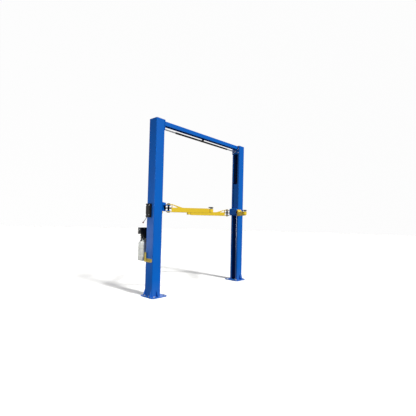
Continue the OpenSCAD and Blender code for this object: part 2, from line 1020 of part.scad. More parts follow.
// Back plate on the column, a ledge with holes, and a tall end plate that stands out with it
module adapter_rack() {
    y0 = -95;
    y1 = col_width / 2 - col_r;
    out = rack_ledge + rack_t;
    top = rack_z + rack_h + rack_tall;
    cut = 14;
    color(yellow)
        side(POWER) {
            translate([-rack_t, y0, rack_z]) cube([rack_t, y1 - y0, rack_h]);
            across_y(y1 - rack_t, y1)
                polygon([
                    [0, rack_z], [0, top], [cut - out, top], [-out, top - cut], [-out, rack_z]
                ]);
            difference() {
                translate([-out, y0, rack_z])
                    cube([out, y1 - y0, rack_t]);
                for (y = [y0 + 50, y1 - 50])
                    translate([-rack_t - rack_ledge / 2, y, rack_z - 1])
                        cylinder(d = rack_ledge / 2, h = rack_t + 2);
            }
        }
}

base_plates();
gussets();
column(POWER);  // power_column
column(OFF);  // off_column
cap_plates();
head_plates();
crossbeam();
bar_brackets();
limit_switch();
cylinder_rods();
latch_covers();
latch_mounts();
off_latch_dog();
power_unit_bracket();
pump_block();
motor();
control_box();
fluid_tank();
adapter_rack();
carriage(POWER);  // power_carriage
slide_blocks(POWER);  // power_slide_blocks
lift_cylinder(POWER);  // power_cylinder
arm_pins(POWER);  // power_arm_pins
restraint_pawls(POWER);  // power_restraint_pawls
lock_ladder(POWER);  // power_lock_ladder
carriage(OFF);  // off_carriage
slide_blocks(OFF);  // off_slide_blocks
lift_cylinder(OFF);  // off_cylinder
arm_pins(OFF);  // off_arm_pins
restraint_pawls(OFF);  // off_restraint_pawls
lock_ladder(OFF);  // off_lock_ladder
arm(POWER, FRONT);  // power_front_arm
restraint_gear(POWER, FRONT);  // power_front_gear
inner_arm(POWER, FRONT);  // power_front_inner_arm
pad_stem(POWER, FRONT);  // power_front_pad_stem
rubber_pad(POWER, FRONT);  // power_front_pad
arm(POWER, REAR);  // power_rear_arm
restraint_gear(POWER, REAR);  // power_rear_gear
inner_arm(POWER, REAR);  // power_rear_inner_arm
pad_stem(POWER, REAR);  // power_rear_pad_stem
rubber_pad(POWER, REAR);  // power_rear_pad
arm(OFF, FRONT);  // off_front_arm
restraint_gear(OFF, FRONT);  // off_front_gear
inner_arm(OFF, FRONT);  // off_front_inner_arm
pad_stem(OFF, FRONT);  // off_front_pad_stem
rubber_pad(OFF, FRONT);  // off_front_pad
arm(OFF, REAR);  // off_rear_arm
restraint_gear(OFF, REAR);  // off_rear_gear
inner_arm(OFF, REAR);  // off_rear_inner_arm
pad_stem(OFF, REAR);  // off_rear_pad_stem
rubber_pad(OFF, REAR);  // off_rear_pad
release_lever();
lever_knob();
power_latch_dog();
shutoff_bar();
bar_padding();
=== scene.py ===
import logging
import math
from dataclasses import dataclass
from enum import Enum
from typing import Any, Sequence

import bmesh
import bpy
import numpy as np
from mathutils import Matrix, Vector


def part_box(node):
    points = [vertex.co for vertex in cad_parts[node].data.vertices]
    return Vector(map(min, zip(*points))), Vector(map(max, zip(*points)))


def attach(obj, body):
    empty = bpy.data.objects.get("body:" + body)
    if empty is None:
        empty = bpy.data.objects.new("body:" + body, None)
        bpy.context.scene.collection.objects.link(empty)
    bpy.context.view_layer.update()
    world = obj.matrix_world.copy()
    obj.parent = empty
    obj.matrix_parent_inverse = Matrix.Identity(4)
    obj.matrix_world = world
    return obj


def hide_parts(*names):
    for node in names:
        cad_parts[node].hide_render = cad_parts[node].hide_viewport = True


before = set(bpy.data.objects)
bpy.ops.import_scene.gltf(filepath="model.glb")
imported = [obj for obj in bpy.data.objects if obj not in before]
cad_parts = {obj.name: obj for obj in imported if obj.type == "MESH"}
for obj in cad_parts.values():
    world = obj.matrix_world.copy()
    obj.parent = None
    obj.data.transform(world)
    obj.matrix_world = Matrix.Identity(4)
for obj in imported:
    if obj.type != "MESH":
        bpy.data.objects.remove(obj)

log = logging.getLogger("two_post_lift")
MM = 0.001
TAU = 2.0 * math.pi
BOTH = (-1, 1)
Point = Sequence[float]
Triple = tuple[float, float, float]
Settings = dict[str, Any]
NOISE, MIX, RANGE = "ShaderNodeTexNoise", "ShaderNodeMix", "ShaderNodeMapRange"
MATHS, BUMP = "ShaderNodeMath", "ShaderNodeBump"


class Named(Enum):
    """An enum whose members' names stand in body and node names."""

    @property
    def word(self) -> str:
        """The member's name as it stands there."""
        return self.name.lower()


class Side(Named):
    """The two sides of the bay, by the sign of X."""

    POWER = -1
    OFF = 1


class End(Named):
    """The two ends of the bay, by the sign of Y."""

    FRONT = -1
    REAR = 1


@dataclass(frozen=True)
class LiftSizes:
    """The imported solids' own sizes, repeated here because the added pieces sit on them."""

    half_span: float = 1.640
    col_depth: float = 0.230
    col_half: float = 0.127
    col_r: float = 0.018
    col_top: float = 3.855
    slot_half: float = 0.072
    head_t: float = 0.012
    head_h: float = 0.224
    base_t: float = 0.018
    base_half: float = 0.2225
    gusset_t: float = 0.008
    beam_half: float = 0.058
    beam_h: float = 0.095
    bar_z: float = 3.690
    bar_r: float = 0.015
    foam_r: float = 0.0225
    foam_half: float = 0.980
    pivot_x: float = 0.330
    pivot_side: float = 0.203
    raised: float = 1.830
    yoke_top: float = 2.005
    tube: float = 0.100
    yoke_back: float = 0.080
    ramp_end: float = 0.310
    front_reach: float = 0.873
    rear_reach: float = 1.060
    socket_gap: float = 0.005
    socket_r: float = 0.052
    pad_z: float = 1.944
    pad_t: float = 0.020
    unit_x: float = 0.075
    unit_y: float = 0.297
    tank_z: float = 0.750
    tank_h: float = 0.450
    tank_half: float = 0.105
    tank_shoulder: float = 0.070
    tank_draft: float = 0.008
    tank_neck: float = 0.065
    pump_h: float = 0.040
    pump_half: float = 0.055
    motor_z: float = 1.240
    motor_h: float = 0.240
    motor_r: float = 0.075
    cover_z: float = 1.705
    cover_h: float = 0.295
    cover_deep: float = 0.050

    def socket_x(self, end: End) -> float:
        """Distance of a pad's centre from its arm's pin."""
        reach = self.front_reach if end is End.FRONT else self.rear_reach
        return reach + self.socket_gap + self.socket_r


SIZES = LiftSizes()


@dataclass(frozen=True)
class Place:
    """Turns points of a local frame into the row frame.

    A side's frame has X from the column's outer face towards the bay. An arm's frame has its
    origin at the pin and X along the arm.
    """

    side: Side
    end: End | None = None

    def row(self, points: np.ndarray) -> np.ndarray:
        """Moves points from this place's own frame.

        Args:
            points: Points as rows of X, Y and Z, in metres.

        Returns:
            The same points in the row frame.
        """
        p = np.array(points, float).reshape(-1, 3)
        if self.end is not None:
            a = self.end.value * math.radians(45.0)
            x = p[:, 0] * math.cos(a) - p[:, 1] * math.sin(a)
            y = p[:, 0] * math.sin(a) + p[:, 1] * math.cos(a)
            p = np.column_stack((x + SIZES.pivot_x, y + self.end.value * SIZES.pivot_side, p[:, 2]))
        p[:, 0] = self.side.value * (SIZES.half_span - p[:, 0])
        return p


@dataclass
class Shell:
    """A closed surface as points and faces, before it is put into a mesh."""

    points: np.ndarray
    faces: list[Sequence[int]]

    def at(self, place: Place) -> "Shell":
        """The same surface, moved into the row frame from a local one."""
        return Shell(place.row(self.points), self.faces)

    def moved(self, offset: Point) -> "Shell":
        """The same surface, shifted by offset."""
        return Shell(self.points + np.asarray(offset, float), self.faces)

    def turned_to(self, axis: Point) -> "Shell":
        """The same surface, with its own Z turned to point along axis."""
        turn = np.array(Vector((0, 0, 1)).rotation_difference(Vector(axis)).to_matrix(), float)
        return Shell(self.points @ turn.T, self.faces)

    def copied(self, offsets: Sequence[Point]) -> "Shell":
        """Copies of the surface at several offsets, as one surface."""
        return Shell.joined([self.moved(offset) for offset in offsets])

    def ringed(self, count: int) -> "Shell":
        """Copies of the surface at even angles round Z, as one surface."""
        turns = [np.array(Matrix.Rotation(i * TAU / count, 3, "Z"), float) for i in range(count)]
        return Shell.joined([Shell(self.points @ turn.T, self.faces) for turn in turns])

    @staticmethod
    def joined(shells: Sequence["Shell"]) -> "Shell":
        """Several surfaces as one, each keeping its own points.

        Args:
            shells: The surfaces.

        Returns:
            The one surface.
        """
        starts = np.cumsum([0] + [len(s.points) for s in shells[:-1]])
        faces = [tuple(i + int(k) for i in f) for s, k in zip(shells, starts) for f in s.faces]
        return Shell(np.vstack([s.points for s in shells]), faces)


def surface(grid: np.ndarray, capped: bool = True) -> Shell:
    """A grid of points as a surface whose rows each close on themselves.

    Args:
        grid: Points as an array of rows, columns and three coordinates.
        capped: Whether the first and last rows are filled with a face.

    Returns:
        The surface.
    """
    rows, cols = grid.shape[:2]
    number = np.arange(rows * cols).reshape(rows, cols)
    beside = np.roll(number, -1, axis=1)
    quads = np.stack((number[:-1], beside[:-1], beside[1:], number[1:]), axis=-1).reshape(-1, 4)
    faces: list[Sequence[int]] = quads.tolist()
    if capped:
        faces += [tuple(number[0, ::-1].tolist()), tuple(number[-1].tolist())]
    return Shell(grid.reshape(-1, 3), faces)


def turned(radius: np.ndarray, angle: np.ndarray, height: np.ndarray) -> np.ndarray:
    """A grid of points (r cos t, r sin t, h) round Z.

    Args:
        radius: One radius for each height, in a column, or one for each height and angle.
        angle: The angles t, one for each column of the grid.
        height: The heights h, one for each row of the grid.

    Returns:
        The points as an array of rows, columns and three coordinates.
    """
    r, h = np.broadcast_arrays(radius, height[:, None] + 0.0 * angle)
    return np.stack((r * np.cos(angle), r * np.sin(angle), h), axis=-1)


def angles(sides: int) -> np.ndarray:
    """Even angles round a full turn, from 0."""
    return np.arange(sides) * TAU / sides


def lathe(profile: Sequence[Point], sides: int = 32) -> Shell:
    """A profile turned round Z.

    Args:
        profile: Rows of radius and height, from the bottom to the top.
        sides: Number of angles.

    Returns:
        The closed surface.
    """
    p = np.asarray(profile, float)
    return surface(turned(p[:, :1], angles(sides), p[:, 1]))


def rounded_edge(outline: np.ndarray, low: float, high: float, edge: float, steps: int = 3) -> Shell:
    """A plate with a plan outline and edges rounded to a quarter circle.

    Ring k of an edge lies inside the outline by edge (1 - sin a) and above its face by
    edge (1 - cos a), for angles a from 0 to 90 degrees. The outline is shrunk along the bisector
    of its corners.

    Args:
        outline: Convex outline as rows of X and Y, counter-clockwise.
        low: Height of the bottom face.
        high: Height of the top face.
        edge: Radius of the edges.
        steps: Number of angles in a quarter circle.

    Returns:
        The closed surface.
    """
    after, before = np.roll(outline, -1, axis=0) - outline, outline - np.roll(outline, 1, axis=0)
    after /= np.linalg.norm(after, axis=1, keepdims=True)
    before /= np.linalg.norm(before, axis=1, keepdims=True)
    square = np.column_stack((-after[:, 1], after[:, 0]))
    inward = square + np.column_stack((-before[:, 1], before[:, 0]))
    inward /= np.maximum(1e-9, (inward * square).sum(1, keepdims=True))
    a = np.linspace(0.0, math.pi / 2, steps + 1)
    shrink, rise = edge * (1 - np.sin(a)), edge * (1 - np.cos(a))
    flat = outline[None] + np.concatenate((shrink, shrink[::-1]))[:, None, None] * inward[None]
    height = np.concatenate((low + rise, high - rise[::-1]))
    z = np.broadcast_to(height[:, None, None], flat.shape[:2] + (1,))
    return surface(np.concatenate((flat, z), axis=2))


def hexagon(across: float, height: float, edge: float, turn: float = 0.0) -> Shell:
    """A hexagon head on Z = 0, with both faces' edges rounded.

    Args:
        across: Distance between opposite flats.
        height: Its height.
        edge: Radius of the edges.
        turn: Angle of the first corner, in radians.

    Returns:
        The closed surface.
    """
    t = angles(6) + turn
    r = across / 2 / math.cos(math.pi / 6)
    return rounded_edge(np.column_stack((r * np.cos(t), r * np.sin(t))), 0.0, height, edge, 2)


def soft_rectangle(width: float, depth: float, radius: float, steps: int = 5) -> np.ndarray:
    """A rectangle with round corners, centred on the origin.

    Each corner's points lie on a quarter circle about the corner's centre.

    Args:
        width: Size along X.
        depth: Size along Y.
        radius: Corner radius.
        steps: Number of steps round a corner.

    Returns:
        Rows of X and Y, counter-clockwise from the end of the side at high X.
    """
    quarter = np.linspace(0.0, math.pi / 2, steps + 1)
    t = (np.arange(4)[:, None] * math.pi / 2 + quarter[None]).reshape(-1)
    sx = np.repeat([1, -1, -1, 1], steps + 1) * (width / 2 - radius)
    sy = np.repeat([1, 1, -1, -1], steps + 1) * (depth / 2 - radius)
    return np.column_stack((sx + radius * np.cos(t), sy + radius * np.sin(t)))


def soft_box(low: Point, high: Point, radius: float, edge: float) -> Shell:
    """A box with round upright corners and rounded top and bottom edges.

    Args:
        low: Lowest corner.
        high: Highest corner.
        radius: Radius of the upright corners.
        edge: Radius of the other edges.

    Returns:
        The closed surface.
    """
    lo, hi = np.asarray(low, float), np.asarray(high, float)
    outline = soft_rectangle(hi[0] - lo[0], hi[1] - lo[1], radius)
    middle = (lo + hi) / 2
    return rounded_edge(outline, lo[2], hi[2], edge).moved((middle[0], middle[1], 0.0))


def swept(path: Sequence[Point], radius: np.ndarray | float, up: Point, sides: int) -> Shell:
    """A round profile carried along a path.

    At each station the profile is radius (cos t, sin t) in the plane of the side and up
    directions, where side is the path's direction crossed with up.

    Args:
        path: Stations as rows of X, Y and Z.
        radius: One radius, or one for each station.
        up: Direction that stays up in the profile.
        sides: Points round the profile.

    Returns:
        The closed surface.
    """
    p = np.asarray(path, float)
    ahead = np.gradient(p, axis=0)
    ahead /= np.linalg.norm(ahead, axis=1, keepdims=True)
    side = np.cross(ahead, np.broadcast_to(np.asarray(up, float), p.shape))
    side /= np.linalg.norm(side, axis=1, keepdims=True)
    over = np.cross(side, ahead)
    t = angles(sides)[None, :, None]
    r = np.broadcast_to(np.asarray(radius, float), (len(p),))[:, None, None]
    return surface(p[:, None] + r * (np.cos(t) * side[:, None] + np.sin(t) * over[:, None]))


def bead(corners: Sequence[Point], size: float, pitch: float = 0.005) -> Shell:
    """A weld bead along straight stretches between corners.

    The bead's radius is size times (0.86 + 0.14 |sin|) of the distance along it over pitch, which
    gives the ripples that a moving arc leaves, and it narrows at its two ends.

    Args:
        corners: The line's corners as rows of X, Y and Z.
        size: Largest radius.
        pitch: Distance between ripples.

    Returns:
        The closed surface.
    """
    c = np.asarray(corners, float)
    spans = np.linalg.norm(np.diff(c, axis=0), axis=1)
    counts = np.maximum(2, np.ceil(spans / (pitch / 3)).astype(int))
    stretches = [
        a + (b - a) * np.linspace(0, 1, n, endpoint=False)[:, None] for a, b, n in zip(c[:-1], c[1:], counts)
    ]
    path = np.vstack([*stretches, c[-1:]])
    walked = np.concatenate(([0.0], np.cumsum(np.linalg.norm(np.diff(path, axis=0), axis=1))))
    ripple = size * (0.86 + 0.14 * np.abs(np.sin(walked * math.pi / pitch)))
    ripple *= np.clip(np.minimum(walked, walked[-1] - walked) / size + 0.35, 0, 1)
    along = c[1] - c[0]
    normal = np.cross(along, c[2] - c[1]) if len(c) > 2 else np.zeros(3)
    if np.linalg.norm(normal) < 1e-12:
        normal = np.cross(along, np.eye(3)[np.argmin(np.abs(along))])
    return swept(path, ripple, normal / np.linalg.norm(normal), 7)


def add_node(tree: bpy.types.NodeTree, kind: str, settings: Settings | None = None, **links: Any) -> Any:
    """Adds a node with its settings, socket values and links.

    Args:
        tree: The tree that gets the node.
        kind: Blender's name for the node's type.
        settings: Properties and socket values by name, or socket values by # and number.
        links: Output sockets by the input that they go to: its name with _ for a space, or i
            and its number.

    Returns:
        The node.
    """
    node = tree.nodes.new(kind)
    for key, value in (settings or {}).items():
        if hasattr(node, key):
            setattr(node, key, value)
        else:
            node.inputs[int(key[1:]) if key[:1] == "#" else key].default_value = value
    for key, source in links.items():
        name = key.replace("_", " ")
        tree.links.new(source, node.inputs[int(name[1:]) if name[1:].isdigit() else name])
    return node


def linear(colour: str) -> tuple[float, float, float, float]:
    """An sRGB hex colour as Blender's linear values.

    Args:
        colour: The colour as #rrggbb.

    Returns:
        Red, green, blue and 1.
    """
    c = np.array([int(colour[i : i + 2], 16) for i in (1, 3, 5)]) / 255
    v = np.where(c <= 0.04045, c / 12.92, ((c + 0.055) / 1.055) ** 2.4)
    return float(v[0]), float(v[1]), float(v[2]), 1.0


def feed(tree: bpy.types.NodeTree, shader: Any, **sources: Any) -> None:
    """Links sockets to a shader's inputs, named with _ for a space.

    Args:
        tree: The material's tree.
        shader: Its shader node.
        sources: Output sockets by the input that they go to.
    """
    for name, source in sources.items():
        tree.links.new(source, shader.inputs[name.replace("_", " ")])


class Finish:
    """What every finish has: a name, the record's slot, and a method that makes its material."""

    name: str
    slot: str

    def material(self) -> bpy.types.Material:
        """The finish's material, made when it is first asked for."""
        return bpy.data.materials.get(self.name) or self.build()

    def build(self) -> bpy.types.Material:
        """Makes the material."""
        raise NotImplementedError

    def start(self) -> tuple[bpy.types.Material, Any, Any, Any]:
        """A new material with its shader and the object's coordinates.

        Returns:
            The material, its tree, its shader node and the Object coordinates' socket.
        """
        made = bpy.data.materials.new(self.name)
        made.use_nodes = True
        tree = made.node_tree
        place = add_node(tree, "ShaderNodeTexCoord").outputs["Object"]
        return made, tree, tree.nodes["Principled BSDF"], place


@dataclass(frozen=True)
class Paint(Finish):
    """Powder coat on steel plate: even colour, a fine orange peel, soft gloss, chips on its edges."""

    name: str
    slot: str
    colour: str
    deep: str
    bare: str = "#6f7072"
    chips: float = 0.5
    roughness: float = 0.34
    dust: float = 0.0
    dust_colour: str = "#8b8a86"

    def build(self) -> bpy.types.Material:
        """Makes the material.

        Slow noise of about 350 mm shifts the colour and the gloss. Noise of 5 mm is the orange
        peel, drawn coarser than the real 1 mm so that it shows.

        Returns:
            The material.
        """
        made, tree, shader, place = self.start()
        slow = add_node(tree, NOISE, {"Scale": 1 / 0.35, "Detail": 3.0}, Vector=place).outputs["Fac"]
        shades = {"data_type": "RGBA", "#6": linear(self.colour), "#7": linear(self.deep)}
        tint = add_node(tree, MIX, shades, i0=slow).outputs[2]
        chip = self.chipped(tree, place)
        metal = {"data_type": "RGBA", "#7": linear(self.bare)}
        base = add_node(tree, MIX, metal, i0=chip, i6=tint).outputs[2]
        if self.dust:
            base = self.dusted(tree, place, base)
        sheen = {"To Min": self.roughness - 0.05, "To Max": self.roughness + 0.14}
        gloss = add_node(tree, RANGE, sheen, Value=slow).outputs[0]
        peel = add_node(tree, NOISE, {"Scale": 1 / 0.005, "Detail": 2.0}, Vector=place).outputs["Fac"]
        height = add_node(tree, MATHS, {"operation": "SUBTRACT"}, i0=peel, i1=chip).outputs[0]
        bump = add_node(tree, BUMP, {"Strength": 0.10, "Distance": 0.4 * MM}, Height=height).outputs[0]
        feed(tree, shader, Base_Color=base, Roughness=gloss, Normal=bump)
        shader.inputs["Specular IOR Level"].default_value = 0.20
        return made

    def chipped(self, tree: bpy.types.NodeTree, place: Any) -> Any:
        """Where the paint is chipped off.

        An edge is where the rounded normal leaves the true one, and noise of 18 mm picks the
        chips there.

        Args:
            tree: The material's tree.
            place: The Object coordinates' socket.

        Returns:
            A socket that is 1 in a chip.
        """
        rounded = add_node(tree, "ShaderNodeBevel", {"samples": 4, "Radius": 2.5 * MM}).outputs[0]
        true_face = add_node(tree, "ShaderNodeNewGeometry").outputs["Normal"]
        alike = add_node(tree, "ShaderNodeVectorMath", {"operation": "DOT_PRODUCT"}, i0=rounded, i1=true_face)
        edge = {"From Min": 1.0, "From Max": 0.80, "To Min": -0.55, "To Max": 0.30 * self.chips}
        need = add_node(tree, RANGE, edge, Value=alike.outputs["Value"]).outputs[0]
        grain = {"Scale": 1 / 0.018, "Detail": 5.0, "Roughness": 0.62}
        speck = add_node(tree, NOISE, grain, Vector=place).outputs["Fac"]
        chance = add_node(tree, MATHS, {"operation": "ADD"}, i0=speck, i1=need).outputs[0]
        return add_node(tree, RANGE, {"From Min": 0.64, "From Max": 0.69}, Value=chance).outputs[0]

    def dusted(self, tree: bpy.types.NodeTree, place: Any, base: Any) -> Any:
        """Lays floor dust over the paint, in clouds of 60 mm that fade out 380 mm above the floor.

        Args:
            tree: The material's tree.
            place: The Object coordinates' socket.
            base: The paint's colour.

        Returns:
            The dusty colour's socket.
        """
        above = add_node(tree, "ShaderNodeSeparateXYZ", Vector=place).outputs["Z"]
        fade = {"From Min": 0.0, "From Max": 0.38, "To Min": self.dust, "To Max": 0.0}
        low = add_node(tree, RANGE, fade, Value=above).outputs[0]
        cloud = add_node(tree, NOISE, {"Scale": 1 / 0.06, "Detail": 6.0}, Vector=place).outputs["Fac"]
        film = add_node(tree, MATHS, {"operation": "MULTIPLY"}, i0=low, i1=cloud).outputs[0]
        dust = {"data_type": "RGBA", "#7": linear(self.dust_colour)}
        return add_node(tree, MIX, dust, i0=film, i6=base).outputs[2]


@dataclass(frozen=True)
class BareMetal(Finish):
    """Bare or plated metal: a grain from how it was made, with stains where hands and rain reach."""

    name: str
    slot: str
    colour: str
    stain: str
    roughness: float = 0.32
    grain: Triple = (60.0, 60.0, 60.0)

    def build(self) -> bpy.types.Material:
        """Makes the material: noise stretched by grain is the lay, and noise of 50 mm the stains.

        Returns:
            The material.
        """
        made, tree, shader, place = self.start()
        lay = add_node(tree, "ShaderNodeMapping", {"Scale": self.grain}, Vector=place).outputs[0]
        fine = add_node(tree, NOISE, {"Scale": 9.0, "Detail": 4.0}, Vector=lay).outputs["Fac"]
        clouds = {"Scale": 1 / 0.05, "Detail": 6.0, "Roughness": 0.65}
        slow = add_node(tree, NOISE, clouds, Vector=place).outputs["Fac"]
        spread = add_node(tree, RANGE, {"From Min": 0.46, "From Max": 0.78}, Value=slow).outputs[0]
        shades = {"data_type": "RGBA", "#6": linear(self.colour), "#7": linear(self.stain)}
        tint = add_node(tree, MIX, shades, i0=spread).outputs[2]
        sheen = {"To Min": self.roughness - 0.08, "To Max": self.roughness + 0.16}
        rough = add_node(tree, RANGE, sheen, Value=fine).outputs[0]
        bump = add_node(tree, BUMP, {"Strength": 0.12, "Distance": 0.3 * MM}, Height=fine).outputs[0]
        feed(tree, shader, Base_Color=tint, Roughness=rough, Normal=bump)
        shader.inputs["Metallic"].default_value = 1.0
        return made


@dataclass(frozen=True)
class Moulded(Finish):
    """Moulded plastic or rubber: dull, finely textured by its mould, greyed where it is handled."""

    name: str
    slot: str
    colour: str
    scuff: str
    roughness: float = 0.5
    texture: float = 0.0025
    depth: float = 0.15
    scuffed: float = 0.35

    def build(self) -> bpy.types.Material:
        """Makes the material: noise at the mould's texture size is its bump, noise of 35 mm its scuffs.

        Returns:
            The material.
        """
        made, tree, shader, place = self.start()
        fine = add_node(tree, NOISE, {"Scale": 1 / self.texture, "Detail": 2.0}, Vector=place).outputs["Fac"]
        clouds = {"Scale": 1 / 0.035, "Detail": 7.0, "Roughness": 0.7}
        slow = add_node(tree, NOISE, clouds, Vector=place).outputs["Fac"]
        worn = {"From Min": 0.48, "From Max": 0.8, "To Max": self.scuffed}
        spread = add_node(tree, RANGE, worn, Value=slow).outputs[0]
        shades = {"data_type": "RGBA", "#6": linear(self.colour), "#7": linear(self.scuff)}
        tint = add_node(tree, MIX, shades, i0=spread).outputs[2]
        sheen = {"To Min": self.roughness - 0.08, "To Max": self.roughness + 0.12}
        rough = add_node(tree, RANGE, sheen, Value=slow).outputs[0]
        bump = add_node(tree, BUMP, {"Strength": self.depth, "Distance": 0.5 * MM}, Height=fine).outputs[0]
        feed(tree, shader, Base_Color=tint, Roughness=rough, Normal=bump)
        shader.inputs["Specular IOR Level"].default_value = 0.3
        return made


@dataclass(frozen=True)
class TankPlastic(Finish):
    """Blow-moulded polyethylene: milky, waxy, and a little darker below the oil's level."""

    name: str = "blow_moulded_polyethylene"
    slot: str = "tank_plastic"
    colour: str = "#eceeea"
    oil: str = "#dcdcd3"
    grime: str = "#a3a196"
    level: float = 1.100

    def build(self) -> bpy.types.Material:
        """Makes the material: the colour changes at the oil's level, and grime lies in clouds of 90 mm.

        Returns:
            The material.
        """
        made, tree, shader, place = self.start()
        above = add_node(tree, "ShaderNodeSeparateXYZ", Vector=place).outputs["Z"]
        brim = {"From Min": self.level + 0.004, "From Max": self.level - 0.004, "To Max": 0.8}
        filled = add_node(tree, RANGE, brim, Value=above).outputs[0]
        shades = {"data_type": "RGBA", "#6": linear(self.colour), "#7": linear(self.oil)}
        tint = add_node(tree, MIX, shades, i0=filled).outputs[2]
        waves = add_node(tree, NOISE, {"Scale": 1 / 0.09, "Detail": 3.0}, Vector=place).outputs["Fac"]
        spread = {"From Min": 0.45, "From Max": 0.8, "To Max": 0.3}
        clouds = add_node(tree, RANGE, spread, Value=waves).outputs[0]
        film = {"data_type": "RGBA", "#7": linear(self.grime)}
        dirty = add_node(tree, MIX, film, i0=clouds, i6=tint).outputs[2]
        fine = add_node(tree, NOISE, {"Scale": 1 / 0.006, "Detail": 3.0}, Vector=place).outputs["Fac"]
        bump = add_node(tree, BUMP, {"Strength": 0.12, "Distance": 0.6 * MM}, Height=fine).outputs[0]
        feed(tree, shader, Base_Color=dirty, Normal=bump)
        shader.inputs["Roughness"].default_value = 0.42
        shader.inputs["Subsurface Weight"].default_value = 0.15
        shader.inputs["Subsurface Radius"].default_value = (0.02, 0.018, 0.014)
        return made


# Powder coat baked on blasted plate: a deep, even colour with a soft gloss and a faint wave.
BLUE = Paint("blue_powder_coat", "blue_paint", "#0062c2", "#0059b4", chips=0.3, dust=0.16)
YELLOW = Paint("yellow_powder_coat", "yellow_paint", "#f0cf3c", "#e7c430", chips=0.7, roughness=0.38)
# The same coat, greyed and darkened as painted shade, dull in gloss, and chipped to dark steel by years of
# handling.
SHADED_WORN_YELLOW = Paint("dusty_yellow_powder_coat", "yellow_paint", "#bfab58", "#a89746", "#5c5a55", 0.9, 0.5)
# Sprayed enamel on castings and pressings: near black, with a satin sheen.
BLACK_PAINT = Paint("black_enamel", "black_paint", "#121316", "#1b1c20", chips=0.4, roughness=0.42)
# Steel blackened in oil: dark, with a satin metal sheen and brownish stains.
BLACKENED = BareMetal("blackened_steel", "plain_steel", "#2b2b2d", "#3a3633", 0.42, (40.0, 40.0, 40.0))
# Bright zinc plate: a pale, cool sheen that clouds with age.
ZINC = BareMetal("zinc_plated_steel", "plain_steel", "#dde1e5", "#b4b6b6", 0.30)
# Ground steel: grey, with its lay drawn out and faint rust stains.
STEEL = BareMetal("ground_steel", "plain_steel", "#a9abae", "#7c6f62", 0.36, (20.0, 20.0, 120.0))
# Hard chrome, ground and polished: a long bright streak down the rod; its colour is darkened as painted shade
# for the columns' dark slots.
CHROME = BareMetal("hard_chromed_rod", "chromed_rod", "#a4a7ab", "#7d7f82", 0.18, (30.0, 30.0, 200.0))
# Injection-moulded ABS: black, its gloss softened by a fine grain.
BLACK_PLASTIC = Moulded("black_abs", "black_plastic", "#08090b", "#1b1c1f", 0.48)
# Machined wear plastic: black and slightly waxy.
GUIDE = Moulded("black_wear_plastic", "guide_plastic", "#17181b", "#2e2f33", 0.4)
# Moulded rubber: dull black that greys where it is worn.
RUBBER = Moulded("moulded_rubber", "black_rubber", "#101010", "#3a3835", 0.72, 0.004, 0.3, 0.6)
# Closed-cell foam: matt, dark and finely pitted.
FOAM = Moulded("closed_cell_foam", "bar_foam", "#0e0f11", "#26272a", 0.85, 0.004, 0.6, 0.5)
# Pressed phenolic: dark red, smooth and glossy.
KNOB = Moulded("dark_red_phenolic", "knob_plastic", "#6a0f14", "#3c0a0c", 0.22, 0.006, 0.04, 0.3)
TANK = TankPlastic()


def put(name: str, data: Any, place: Matrix | None = None) -> bpy.types.Object:
    """Makes an object and links it to the scene.

    Args:
        name: The object's name.
        data: Its mesh, camera or lamp.
        place: Its place, where it isn't at the origin.

    Returns:
        The object.
    """
    obj = bpy.data.objects.new(name, data)
    if place is not None:
        obj.matrix_world = place
    bpy.context.scene.collection.objects.link(obj)
    return obj


@dataclass(frozen=True)
class Panel:
    """A soft round lamp: where it hangs, what it faces, its width, power and colour."""

    name: str
    spot: Triple
    aim: Triple
    size: float
    power: float
    tint: Triple = (1.0, 1.0, 1.0)


